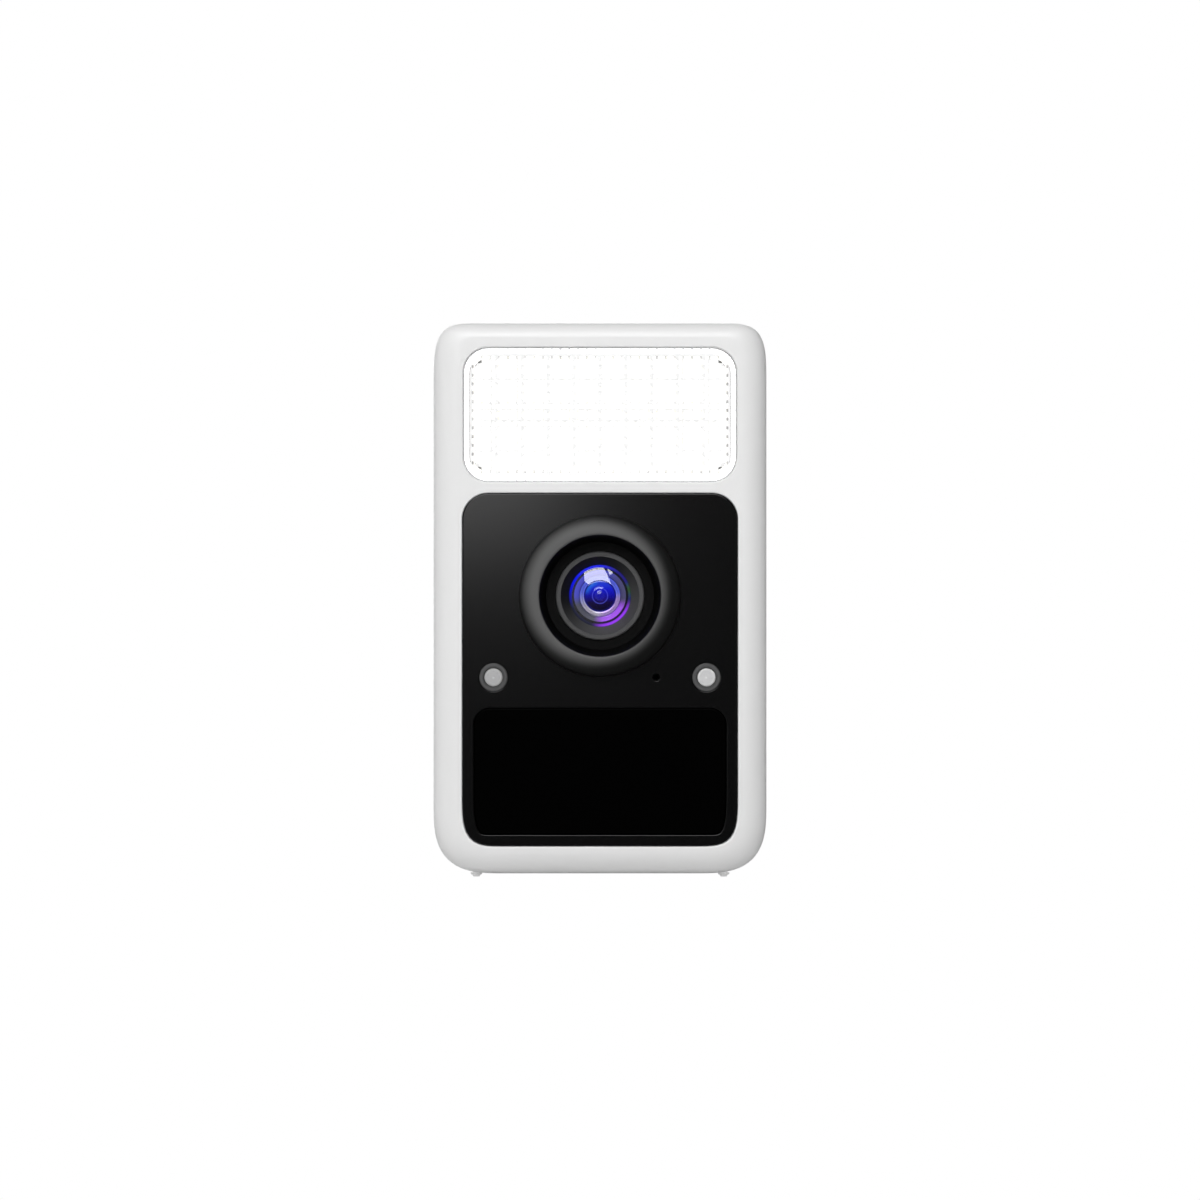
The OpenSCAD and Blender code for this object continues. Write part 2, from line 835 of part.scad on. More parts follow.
module lens_bezel() {
  color([0.12, 0.12, 0.13])
    turned(0, lens_z)
      polygon(concat(
        [[skirt_r, panel_sink], [bezel_r, panel_sink]],
        [for (p = [9:9:90]) [bezel_lip_r + bezel_w * cos(p), panel_sink - bezel_rise * sin(p)]],
        [for (p = [0:22.5:90]) [bezel_lip_r - lip_w * sin(p), lip_w - bezel_out - lip_w * cos(p)]],
        [
          [throat_r, 2], [bezel_lip_r - 0.2, 2], [bezel_lip_r - 0.2, panel_back + 1],
          [skirt_r, panel_back + 1]
        ]
      ));
}

module lens_surround() {
  color([0.07, 0.07, 0.08])
    turned(0, lens_z)
      polygon([
        [barrel_r + 0.15, 2], [bezel_lip_r - 0.25, 2], [bezel_lip_r - 0.25, 3], [barrel_r + 0.15, 3]
      ]);
}

module lens_oring() {
  color([0.15, 0.15, 0.15])
    turned(0, lens_z)
      translate([barrel_r + 0.75, 3.7])
        circle(r = 0.7, $fn = 32);
}

front_t = 1.4;
cone_t = 3.6;
seat_r = 7.5;

module lens_barrel() {
  color([0.2, 0.2, 0.21])
    turned(0, lens_z)
      polygon([
        [rim_r, front_t], [barrel_r - 0.25, front_t], [barrel_r, front_t + 0.25], [barrel_r, 8.2],
        [thread_r, 8.2], [thread_r, 16.2], [thread_r - 0.2, 16.4], [3.6, 16.4], [3.6, 13], [4.2, 13],
        [4.2, 10.4], [5, 10.4], [5, 7.2], [seat_r + 0.05, 7.2], [seat_r + 0.05, 5], [rim_r, 5]
      ]);
}

module lens_retainer() {
  color([0.14, 0.14, 0.15])
    turned(0, lens_z)
      polygon([
        [rim_r - 0.02, front_t + 0.05], [rim_r - 0.02, cone_t + 0.9], [seat_r + 0.05, cone_t + 0.9],
        [seat_r + 0.05, cone_t], [glass_r, cone_t - 0.15], [glass_r, cone_t - 0.35]
      ]);
}

// Height of a dome of one radius of curvature at a distance from its middle
function sag(curve, r) = curve - sqrt(curve * curve - r * r);

module front_element() {
  apex = cone_t - sag(glass_curve_r, glass_r) - 0.3;
  color([0.3, 0.4, 0.9, 0.6])
    difference() {
      intersection() {
        rod(0, lens_z, 0, 7, seat_r);
        at(0, apex + glass_curve_r, lens_z)
          sphere(r = glass_curve_r, $fn = 64);
        rod(0, lens_z, 0, 6.6, seat_r + 1);
      }
      at(0, 4 + 7.2, lens_z)
        sphere(r = 7.2, $fn = 64);
      difference() {
        rod(0, lens_z, 0, cone_t, seat_r + 1);
        rod(0, lens_z, -1, cone_t + 1, glass_r - 0.1);
      }
    }
}

module second_element() {
  color([0.4, 0.3, 0.8, 0.6])
    difference() {
      rod(0, lens_z, 7.2, 10.3, 4.95);
      at(0, 8.2 - 9, lens_z)
        sphere(r = 9, $fn = 64);
      at(0, 9.2 + 9, lens_z)
        sphere(r = 9, $fn = 64);
    }
}

module rear_element() {
  r = 4.15;
  color([0.4, 0.3, 0.8, 0.6])
    turned(0, lens_z)
      polygon(concat(
        [for (i = [0:8]) [r * i / 8, 10.5 + sag(9, r * i / 8)]],
        [for (i = [8:-1:0]) [r * i / 8, 12.95 - sag(14, r * i / 8)]]
      ));
}

// ---------- lens mount and day/night filter ----------

mount_half = 14.5;
mount_low = -10;
mount_high = 19;
mount_t0 = 15.4;
mount_floor = slider_t0 - 0.05;
slider_low = -3.8;
slider_high = 7.2;

module lens_mount() {
  color([0.1, 0.1, 0.1])
    difference() {
      union() {
        difference() {
          union() {
            rod(0, lens_z, 9, mount_t0 + 0.4, thread_r + 2);
            block(-mount_half, mount_half, mount_t0, sensor_board_t0, lens_z + mount_low, lens_z + mount_high);
          }
          block(
            -mount_half + 1.2, mount_half - 1.2, mount_floor, sensor_board_t0 + 1,
            lens_z + mount_low + 1.2, lens_z + mount_high - 1.2
          );
        }
        // Guides above and below the slider
        slider_guide(slider_high + slider_gap, 1, -9.6, 9.6);
        slider_guide(slider_low - slider_gap, -1, -9.6, 9.6);
        rod(0, pivot_z, mount_floor - 0.4, arm_t0 + 1.6, pivot_r);
      }
      rod(0, lens_z, 8, mount_floor + 1, thread_r + thread_gap);
    }
}

module slider_guide(z, way, x0, x1) {
  block(x0, x1, mount_floor - 0.4, slider_t0 + slider_t + 0.06, lens_z + min(z, z + way), lens_z + max(z, z + way));
}

module filter_slider() {
  x1 = 3.1;
  x0 = -filter_pitch - 3.1;
  slot_half = arm_pin_r + arm_pin_gap;
  slot_x = -filter_pitch / 2;
  color([0.15, 0.15, 0.16])
    difference() {
      block(x0, x1, slider_t0, slider_t0 + slider_t, lens_z + slider_low, lens_z + slider_high);
      for (x = [0, -filter_pitch]) {
        block(x - 2, x + 2, slider_t0 - 1, slider_t0 + 2, lens_z - 2.4, lens_z + 2.4);
        block(x - 2.3, x + 2.3, slider_t0 + 0.2, slider_t0 + 2, lens_z - 2.8, lens_z + 2.8);
      }
      block(
        slot_x - slot_half, slot_x + slot_half, slider_t0 - 1, slider_t0 + 2,
        lens_z + 12.5 - arm_r - 0.9, lens_z + slider_high - 0.3
      );
    }
}

module filter_pane(x) {
  block(x - 2.3, x + 2.3, slider_t0 + 0.2, slider_t0 + 0.6, lens_z - 2.8, lens_z + 2.8);
}

module day_filter() {
  color([0.5, 0.8, 0.9, 0.6])
    filter_pane(0);
}

module night_filter() {
  color([0.9, 0.9, 0.9, 0.5])
    filter_pane(-filter_pitch);
}

module filter_arm() {
  pin_x = -arm_r * sin(arm_half_swing);
  pin_z = pivot_z - arm_r * cos(arm_half_swing);
  color([0.5, 0.5, 0.55])
    difference() {
      union() {
        rod(0, pivot_z, arm_t0, arm_t0 + 1.4, rotor_r);
        rod(pin_x, pin_z, arm_t0, arm_t0 + arm_t, 0.9);
        at(0, arm_t0, pivot_z)
          rotate([0, arm_half_swing, 0])
            translate([-0.6, 0, -arm_r])
              cube([1.2, arm_t, arm_r]);
        rod(pin_x, pin_z, slider_t0 + 0.15, arm_t0 + 0.1, arm_pin_r);
      }
      rod(0, pivot_z, arm_t0 - 1, arm_t0 + 3, pivot_r + pivot_gap);
    }
}

module filter_drive() {
  leg = rotor_r + 0.3;
  color([0.72, 0.45, 0.2])
    union() {
      for (side = [-1, 1])
        block(
          side * (leg + 0.6) - 0.6, side * (leg + 0.6) + 0.6, arm_t0, arm_t0 + 1.6,
          pivot_z - 2, pivot_z + 3
        );
      block(-leg - 1.2, 11, arm_t0, arm_t0 + 1.6, pivot_z + 2.5, pivot_z + 3.8);
      block(4.6, 10.4, mount_floor, sensor_board_t0 - 0.1, pivot_z + 1.2, pivot_z + 5.1);
    }
}

module image_sensor() {
  color([0.25, 0.3, 0.35])
    difference() {
      block(-4, 4, sensor_board_t0 - 1, sensor_board_t0, lens_z - 3.5, lens_z + 3.5);
      block(-3, 3, sensor_board_t0 - 1.1, sensor_board_t0 - 0.8, lens_z - 2, lens_z + 2);
    }
}

sensor_half = 18.9;
sensor_low = -12;
sensor_high = 19.4;
sensor_screw_x = 16.9;

module at_sensor_screws() {
  for (side = [-1, 1], z = [sensor_low + 2.4, sensor_high - 2.4])
    translate([side * sensor_screw_x, 0, lens_z + z])
      children();
}

module sensor_board() {
  color("darkgreen")
    difference() {
      block(
        -sensor_half, sensor_half, sensor_board_t0, sensor_board_t0 + sensor_board_t,
        lens_z + sensor_low, lens_z + sensor_high
      );
      at_sensor_screws()
        rod(0, 0, sensor_board_t0 - 1, sensor_board_t0 + 3, board_screw_r + screw_gap);
    }
}

// ---------- sensors on the front board ----------

module ir_collars() {
  color([0.35, 0.35, 0.36])
    for (side = [-1, 1])
      turned(side * window_x, window_z)
        polygon([
          [window_r + 0.02, 0.5], [window_r + 0.3, 0.25], [collar_r - 0.2, 0.25], [collar_r, 0.4],
          [collar_r, panel_back], [collar_r + 0.8, panel_back], [collar_r + 0.8, panel_back + 0.7],
          [window_r + 0.02, panel_back + 0.7]
        ]);
}

module ir_windows() {
  color([0.75, 0.75, 0.76])
    for (side = [-1, 1])
      turned(side * window_x, window_z)
        polygon([
          [0, 0.35], [window_r - 0.3, 0.4], [window_r, 0.6], [window_r, 6.2], [window_r - 0.2, 6.4], [0, 6.4]
        ]);
}

module ir_leds() {
  color([0.6, 0.6, 0.65])
    for (side = [-1, 1])
      union() {
        rod(side * window_x, window_z, 8, front_board_t0, ir_led_r);
        rod(side * window_x, window_z, front_board_t0 - 1, front_board_t0, ir_led_r + 0.3);
        at(side * window_x, 8, window_z)
          sphere(r = ir_led_r, $fn = 32);
      }
}

front_board_half = half_w - 7.7;
peg_z = pir_z0 + 4;

module at_front_posts() {
  for (side = [-1, 1])
    translate([side * (window_x - 5.5), 0, front_pitch_z])
      children();
}

module at_front_pegs() {
  for (side = [-1, 1])
    translate([side * 20, 0, peg_z])
      children();
}

module front_board() {
  color("darkgreen")
    difference() {
      block(
        -front_board_half, front_board_half, front_board_t0, front_board_t0 + board_t,
        panel_z0 + 1.4, lens_z - 14
      );
      at_front_posts()
        rod(0, 0, front_board_t0 - 1, front_board_t0 + 3, board_screw_r + screw_gap);
      at_front_pegs()
        rod(0, 0, front_board_t0 - 1, front_board_t0 + 3, 1.05);
    }
}

module microphone() {
  color("silver")
    difference() {
      block(mic_x - 1.8, mic_x + 1.8, front_board_t0 - 1, front_board_t0, window_z - 1.4, window_z + 1.4);
      rod(mic_x, window_z, front_board_t0 - 2, front_board_t0 - 0.6, 0.3);
    }
}

module mic_boot() {
  color([0.15, 0.15, 0.15])
    turned(mic_x, window_z)
      polygon([
        [0.6, panel_back], [2, panel_back], [2, panel_back + 0.6], [1.4, panel_back + 1],
        [1.4, front_board_t0 - 1.8], [1.9, front_board_t0 - 1.4], [1.9, front_board_t0 - 1], [0.6, front_board_t0 - 1]
      ]);
}

module pir_lens() {
  face = panel_sink + 0.25;
  color([0.03, 0.03, 0.03])
    difference() {
      union() {
        plate(face, panel_back)
          outline(pir_box);
        plate(panel_back, panel_back + 0.8)
          intersection() {
            outline(pir_box, -0.9);
            outline(panel_box, ledge_w + 0.15);
          }
      }
      plate(face + 0.6, panel_back + 1)
        outline(pir_box, 0.8);
    }
}

module pir_holder() {
  color([0.12, 0.12, 0.12])
    plate(panel_back + 0.8, front_board_t0)
      outline_ring(pir_box, -0.6, 0.3);
}

module pir_sensor() {
  color("silver")
    difference() {
      union() {
        rod(0, pir_z, front_board_t0 - 0.8, front_board_t0, 4.6);
        rod(0, pir_z, front_board_t0 - 4.2, front_board_t0 - 0.8 + eps, 4.1);
      }
      block(-2, 2, front_board_t0 - 5, front_board_t0 - 3.9, pir_z - 1.5, pir_z + 1.5);
    }
}

// ---------- chassis and boards ----------

main_half = half_w - 9.5;
main_low = main_low_z + 4;
main_high = z_top - 8;

module at_main_screws() {
  for (side = [-1, 1], z = [main_low + 5, main_high - 14])
    translate([side * (main_half - 4), 0, z])
      children();
}

module chassis() {
  o = [half_w - wall - 0.5, z_bottom + 7.4, z_top - 6.8, [4, 4, 2], [4, 4, 2]];
  color([0.3, 0.3, 0.32])
    difference() {
      union() {
        plate(chassis_t0, chassis_t1)
          outline(o);
        at_sensor_screws()
          rod(0, 0, sensor_board_t0 + sensor_board_t, chassis_t0 + 1, board_screw_r + 1);
        at_front_posts()
          rod(0, 0, front_board_t0 + board_t, chassis_t0 + 1, board_screw_r + 1);
        at_front_pegs()
          rod(0, 0, front_board_t0 + board_t, chassis_t0 + 1, 1.8);
        at_front_pegs()
          rod(0, 0, front_board_t0 + 0.2, front_board_t0 + board_t + 1, 1);
        at_main_screws()
          rod(0, 0, chassis_t0 + 1, main_board_t0, board_screw_r + 1.2);
      }
      at_main_bosses()
        rod(0, 0, chassis_t0 - 1, chassis_t1 + 1, shell_screw_r + screw_gap);
      at_sensor_screws()
        rod(0, 0, sensor_board_t0, chassis_t1 - 0.6, board_screw_r + pilot_gap);
      at_front_posts()
        rod(0, 0, front_board_t0, chassis_t0, board_screw_r + pilot_gap);
      at_main_screws()
        rod(0, 0, chassis_t0 + 0.6, main_board_t0 + 1, board_screw_r + pilot_gap);
      // Window for the flat cable of the camera, and for the light's wires
      block(-8, 8, chassis_t0 - 1, chassis_t1 + 1, lens_z - 11, lens_z - 3);
      block(11, 17, chassis_t0 - 1, chassis_t1 + 1, light_z0 - 5.6, light_z0 - 2.2);
    }
}

module main_board() {
  color("darkgreen")
    difference() {
      block(-main_half, main_half, main_board_t0, main_board_t1, main_low, main_high);
      at_main_screws()
        rod(0, 0, main_board_t0 - 1, main_board_t1 + 1, board_screw_r + screw_gap);
    }
}

module shield_can() {
  color("silver")
    difference() {
      block(-20, -4, main_board_t1, main_board_t1 + 2.2, lens_z + 22, lens_z + 36);
      block(-19.7, -4.3, main_board_t1 - 1, main_board_t1 + 1.9, lens_z + 22.3, lens_z + 35.7);
    }
}

antenna_z = cell_mid + 26.5;

module antenna() {
  color([0.8, 0.65, 0.3])
    block(half_w - wall - 0.6, half_w - wall, main_board_t1 + 1, main_board_t1 + 9, antenna_z - 18, antenna_z + 6);
}

module speaker() {
  color([0.12, 0.12, 0.12])
    at(0, speaker_depth, z_bottom + wall)
      rotate_extrude($fn = 64)
        polygon([
          [0, 1.4], [6, 0.9], [7.6, 0.4], [8.4, 0.9], [8.6, 0], [speaker_r, 0], [speaker_r, 2.6],
          [speaker_r - 3, 3.2], [speaker_r - 3, 4.2], [0, 4.2]
        ]);
}

// ---------- power ----------

module cells(grow) {
  for (side = [-1, 1])
    at(side * cell_x, cell_depth, cell_z0 - grow)
      cylinder(h = cell_l + 2 * grow, r = cell_r + grow, $fn = 64);
}

module battery_cells() {
  color([0.25, 0.45, 0.3])
    for (side = [-1, 1])
      at(side * cell_x, cell_depth, cell_z0)
        rotate_extrude($fn = 64)
          polygon([
            [0, 0], [cell_r - 0.3, 0], [cell_r, 0.3], [cell_r, cell_l - 1], [cell_r - 0.6, cell_l - 0.5],
            [4, cell_l - 0.5], [3.6, cell_l], [0, cell_l]
          ]);
}

module battery_board() {
  color("darkgreen")
    block(-cell_x - 5, cell_x + 5, cell_depth - 4, cell_depth + 4, cell_z0 + cell_l, cell_z0 + cell_l + board_t);
}

module battery_bracket() {
  pad = cell_x + cell_r - 4;
  color([0.2, 0.2, 0.2])
    difference() {
      union() {
        block(-pad, pad, bracket_t0, bracket_t0 + bracket_t, cell_mid - 20, cell_mid + 20);
        for (z = [cell_mid - 18, cell_mid + 16], side = [-1, 1])
          block(
            side * cell_x - 7, side * cell_x + 7, bracket_t0 + 0.5,
            cell_depth - cell_r + 1.6, z, z + 2
          );
      }
      cells(0.05);
      for (side = [-1, 1])
        rod(0, cell_mid + side * post_up, bracket_t0 - 1, bracket_t0 + 3, board_screw_r + screw_gap);
      block(-8, 8, bracket_t0 - 1, bracket_t0 + 3, cell_mid - 10, cell_mid + 10);
    }
}

// ---------- rear ----------

module thread_insert() {
  color("goldenrod")
    turned(0, cell_mid)
      polygon([
        [insert_bore_r, body_d - insert_l - 0.2], [insert_r, body_d - insert_l - 0.2],
        [insert_r, body_d - 0.2], [insert_bore_r + 0.4, body_d - 0.2], [insert_bore_r, body_d - 0.6]
      ]);
}

module usb_port() {
  wall_t = 0.3;
  color("silver")
    union() {
      difference() {
        usb_body(0, bay_floor - 7, bay_floor + 0.4);
        usb_body(wall_t, bay_floor - 6, bay_floor + 1);
      }
      block(usb_x - 3.3, usb_x + 3.3, bay_floor - 6.5, bay_floor - 0.4, usb_z - 0.35, usb_z + 0.35);
    }
}

module usb_body(inset, depth0, depth1) {
  r = usb_h / 2 - inset;
  for (side = [-1, 1])
    rod(usb_x + side * (usb_w - usb_h) / 2, usb_z, depth0, depth1, r);
  block(usb_x - (usb_w - usb_h) / 2, usb_x + (usb_w - usb_h) / 2, depth0, depth1, usb_z - r, usb_z + r);
}

module card_socket() {
  depth1 = bay_floor - bay_wall - 0.1;
  color("silver")
    difference() {
      block(
        card_x - card_w / 2 - socket_side, card_x + card_w / 2 + socket_side,
        bay_floor + card_out - card_l - 1, depth1,
        port_top, card_z + card_t + 0.5
      );
      block(
        card_x - card_w / 2 - card_gap, card_x + card_w / 2 + card_gap,
        bay_floor + card_out - card_l - 0.1, depth1 + 1, card_z - card_gap, card_z + card_t + card_gap
      );
    }
}

module memory_card() {
  depth0 = bay_floor + card_out - card_l;
  color([0.1, 0.1, 0.1])
    difference() {
      block(card_x - card_w / 2, card_x + card_w / 2, depth0, depth0 + card_l, card_z, card_z + card_t);
      at(card_x + card_w / 2, depth0, card_z - 1)
        rotate([0, 0, 45])
          cube([2, 2, 4], center = true);
      block(card_x - 4, card_x + 4, depth0 + card_l - 0.9, depth0 + card_l - 0.5, card_z + card_t - 0.2, card_z + 2);
    }
}

module button(x, r, length) {
  rod(x, button_z, bay_floor - bay_wall - 0.9, bay_floor + length, r);
  rod(x, button_z, bay_floor - bay_wall - 1, bay_floor - bay_wall - 0.3, r + 0.7);
}

module reset_button() {
  color("darkgray")
    button(reset_x, reset_r, 0.6);
}

module power_button() {
  color("dimgray")
    button(power_x, power_r, 1.2);
}

module button_switches() {
  tip = bay_floor - bay_wall - 1 - button_travel - 0.05;
  color([0.15, 0.15, 0.15])
    for (x = [reset_x, power_x])
      union() {
        block(x - switch_half, x + switch_half, tip - 2.6, tip - 0.6, port_top, button_z + 2);
        rod(x, button_z, tip - 0.7, tip, 0.8);
      }
}

module service_door() {
  color("gainsboro")
    difference() {
      union() {
        block(
          -door_half_w, door_half_w, door_depth - door_r, door_depth + door_r, door_z, door_z1
        );
        at(-door_half_w, door_depth, door_z)
          rotate([0, 90, 0])
            cylinder(h = 2 * door_half_w, r = door_r, $fn = 48);
      }
      at(-door_half_w - 1, door_depth, door_z)
        rotate([0, 90, 0])
          cylinder(h = 2 * door_half_w + 2, r = door_pin_r + door_pin_gap, $fn = 32);
      // Pull groove along the free edge
      block(-6, 6, door_depth + door_r - 0.6, door_depth + door_r + 1, door_z1 - 2.2, door_z1 - 1.4);
    }
}

module door_seal() {
  t1 = door_depth - door_r;
  x1 = bay_half - 0.35;
  color([0.25, 0.25, 0.25])
    difference() {
      block(-x1, x1, t1 - 1.2, t1, bay_z0 + 1.6, bay_z1 - 0.6);
      block(-x1 + 1.2, x1 - 1.2, t1 - 2, t1 + 1, bay_z0 + 2.8, bay_z1 - 1.8);
    }
}

module door_pin() {
  color("silver")
    at(-recess_half - 1.3, door_depth, door_z)
      rotate([0, 90, 0])
        cylinder(h = 2 * recess_half + 2.6, r = door_pin_r, $fn = 32);
}

module port_board() {
  color("darkgreen")
    difference() {
      block(-18.5, 18.5, bay_floor - 15, bay_floor - bay_wall - 0.1, port_board_z, port_top);
      for (side = [-1, 1])
        at(side * 14.5, 39.5, port_board_z - 1)
          cylinder(h = 4, r = board_screw_r + screw_gap, $fn = 32);
    }
}

// ---------- fasteners and cables ----------

module board_screws() {
  color("silver")
    union() {
      at_light_bosses()
        screw(0, 0, light_board_t0 + light_board_t + heatsink_t, -1, board_screw_r, 7, board_head_r, 1.2);
      at_sensor_screws()
        screw(0, 0, sensor_board_t0, 1, board_screw_r, 5, board_head_r, 1.2);
      at_front_posts()
        screw(0, 0, front_board_t0, 1, board_screw_r, 7, board_head_r, 1.2);
      at_main_screws()
        screw(0, 0, main_board_t1, -1, board_screw_r, 4.6, board_head_r, 1.2);
      for (side = [-1, 1])
        screw(0, cell_mid + side * post_up, bracket_t0, 1, board_screw_r, 8, board_head_r, 1.2);
      for (side = [-1, 1])
        at(side * 14.5, 39.5, port_top)
          rotate([180, 0, 0])
            difference() {
              union() {
                cylinder(h = 6, r = board_screw_r, $fn = 32);
                translate([0, 0, -1.2])
                  cylinder(h = 1.2, r1 = board_head_r * 0.86, r2 = board_head_r, $fn = 32);
              }
              translate([0, 0, -1.2 - eps])
                cylinder(h = 0.7, r = board_head_r * 0.42, $fn = 6);
            }
    }
}

module cables() {
  top = cell_z0 + cell_l + board_t;
  light_low = light_z0 - 2.9;
  color([0.7, 0.15, 0.1])
    union() {
      // Battery to main board
      for (x = [-2, 0])
        wire([[x, cell_depth, top], [x, cell_depth, top + 3], [x, main_board_t1, top + 3]], 0.5);
      // Light to main board
      for (x = [13, 15])
        wire([
          [x, light_board_t0 + 0.7, light_low], [x, light_board_t0 + 0.7, light_low - 1],
          [x, main_board_t0, light_low - 1]
        ], 0.4);
      // Speaker to main board
      for (x = [-1.5, 1.5])
        wire([
          [x, main_board_t1 + 1.2, z_bottom + wall + 4.2], [x, main_board_t1 + 1.2, main_low + 3],
          [x, main_board_t1, main_low + 3]
        ], 0.4);
      // Port board to main board
      for (x = [-6, -4.5])
        wire([
          [x, bay_floor - 14, port_top], [x, bay_floor - 14, main_low + 1.5],
          [x, main_board_t1, main_low + 1.5]
        ], 0.4);
      // Antenna lead
      wire([
        [half_w - wall - 0.6, main_board_t1 + 4, antenna_z], [main_half - 2, main_board_t1 + 4, antenna_z],
        [main_half - 2, main_board_t1, antenna_z]
      ], 0.4);
      // Flat cable of the camera
      block(-5, 5, sensor_board_t0 + sensor_board_t, sensor_board_t0 + sensor_board_t + 1, lens_z - 9, lens_z - 5);
      block(-4, 4, sensor_board_t0 + sensor_board_t, main_board_t0, lens_z - 7.2, lens_z - 6.9);
      block(-5, 5, main_board_t0 - 1, main_board_t0, lens_z - 9, lens_z - 5);
    }
}

front_shell();
rear_shell();
port_bay();
shell_seal();
screws();
screw_plugs();
feet();
light_lens();
light_seal();
light_reflector();
light_board();
light_leds();
light_heatsink();
front_panel();
panel_seal();
lens_bezel();
lens_surround();
lens_oring();
lens_barrel();
lens_retainer();
front_element();
second_element();
rear_element();
lens_mount();
filter_slider();
day_filter();
night_filter();
filter_arm();
filter_drive();
image_sensor();
sensor_board();
ir_collars();
ir_windows();
ir_leds();
front_board();
microphone();
mic_boot();
pir_lens();
pir_holder();
pir_sensor();
chassis();
main_board();
shield_can();
antenna();
speaker();
battery_cells();
battery_board();
battery_bracket();
thread_insert();
usb_port();
card_socket();
memory_card();
reset_button();
power_button();
button_switches();
service_door();
door_seal();
door_pin();
port_board();
cables();
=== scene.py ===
from math import cos, pi, radians, sin, sqrt

import bmesh
import bpy
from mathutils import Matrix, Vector


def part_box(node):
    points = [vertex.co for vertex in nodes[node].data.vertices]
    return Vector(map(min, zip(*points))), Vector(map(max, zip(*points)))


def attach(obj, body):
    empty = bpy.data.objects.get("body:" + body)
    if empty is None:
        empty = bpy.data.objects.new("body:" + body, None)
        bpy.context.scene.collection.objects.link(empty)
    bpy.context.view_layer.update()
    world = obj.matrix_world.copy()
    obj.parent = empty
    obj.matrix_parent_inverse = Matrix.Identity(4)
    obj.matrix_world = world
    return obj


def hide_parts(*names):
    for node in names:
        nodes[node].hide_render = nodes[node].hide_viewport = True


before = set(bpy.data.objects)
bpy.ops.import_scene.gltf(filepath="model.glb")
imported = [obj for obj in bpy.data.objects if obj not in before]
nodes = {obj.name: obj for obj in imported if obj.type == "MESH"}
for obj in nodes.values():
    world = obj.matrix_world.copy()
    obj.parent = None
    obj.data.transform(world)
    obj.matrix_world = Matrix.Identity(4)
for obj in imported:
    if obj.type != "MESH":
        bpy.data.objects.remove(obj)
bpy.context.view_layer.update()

scene = bpy.context.scene

MM = 0.001
FACE_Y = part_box("front_shell")[0].y
BODY_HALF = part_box("front_shell")[1].x / MM
BODY_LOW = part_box("front_shell")[0].z / MM
BODY_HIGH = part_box("front_shell")[1].z / MM
LENS_Z = (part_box("front_element")[0].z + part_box("front_element")[1].z) / 2 / MM
WINDOW_Z = (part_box("ir_windows")[0].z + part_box("ir_windows")[1].z) / 2 / MM
WINDOW_X = 23.0
MIC_X = 12.15
MIC_R = 0.87
BODY_DEPTH = 58.0
INSERT_Z = (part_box("thread_insert")[0].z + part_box("thread_insert")[1].z) / 2 / MM

# Outlines: half width, lowest and highest z, low corners and high corners.
# A corner is its width, its height and how square it is (2 is an ellipse).
BODY = (BODY_HALF, BODY_LOW, BODY_HIGH, (15.1, 14.9, 3.05), (9.8, 13.3, 3.8))
LIGHT = (29.45, 85.5, 114.4, (5.4, 5.4, 2), (5.4, 5.4, 2))
PANEL = (29.675, 6.84, 82.95, (9.2, 11.8, 3.84), (5.6, 5.6, 2))
PIR = (27.3, 9.28, 36.68, (3.7, 12.6, 4.2), (3.6, 3.6, 2))


# ---------- making pieces ----------

def deep(t):
    """Where a depth behind the front face lies along Y."""
    return FACE_Y + t * MM


def corner_run(corner, start, steps):
    width, height, square = corner
    for i in range(steps + 1):
        angle = start + radians(90) * i / steps
        c, s = cos(angle), sin(angle)
        reach = (abs(c) ** square + abs(s) ** square) ** (-1 / square)
        yield reach * c * width, reach * s * height


def outline(shape, inset=(0, 0, 0), steps=16):
    """Points round an outline, moved in at the sides, the bottom and the top."""
    side, low_in, high_in = (inset,) * 3 if isinstance(inset, (int, float)) else inset
    half, z0, z1 = shape[0] - side, shape[1] + low_in, shape[2] - high_in
    low = (max(shape[3][0] - side, 0.3), max(shape[3][1] - low_in, 0.3), shape[3][2])
    high = (max(shape[4][0] - side, 0.3), max(shape[4][1] - high_in, 0.3), shape[4][2])
    points = []
    for quarter, corner, cx, cz in (
            (-1, low, half - low[0], z0 + low[1]), (0, high, half - high[0], z1 - high[1]),
            (1, high, high[0] - half, z1 - high[1]), (2, low, low[0] - half, z0 + low[1])):
        points += [(cx + x, cz + z) for x, z in corner_run(corner, quarter * pi / 2, steps)]
    return points


def circle(x, z, r, steps=64):
    return [(x + r * cos(2 * pi * i / steps), z + r * sin(2 * pi * i / steps))
            for i in range(steps)]


def slot(x, z, half, r, steps=8):
    run = [(x + half + r * sin(pi * i / steps), z - r * cos(pi * i / steps))
           for i in range(steps + 1)]
    return run + [(2 * x - a, 2 * z - b) for a, b in run]


def ring(bm, points, t):
    verts = [bm.verts.new((x * MM, deep(t), z * MM)) for x, z in points]
    return [bm.edges.new(pair) for pair in zip(verts, verts[1:] + verts[:1])]


def skin(bm, rings):
    """Joins each ring of edges to the next: a flat step is filled, the rest are bridged."""
    for a, b in zip(rings, rings[1:]):
        if abs(a[0].verts[0].co.y - b[0].verts[0].co.y) < 1e-7:
            fill(bm, a, b)
        else:
            bmesh.ops.bridge_loops(bm, edges=a + b)


def fill(bm, *rings):
    edges = [edge for one in rings for edge in one]
    bmesh.ops.triangle_fill(bm, use_beauty=True, use_dissolve=False, edges=edges)


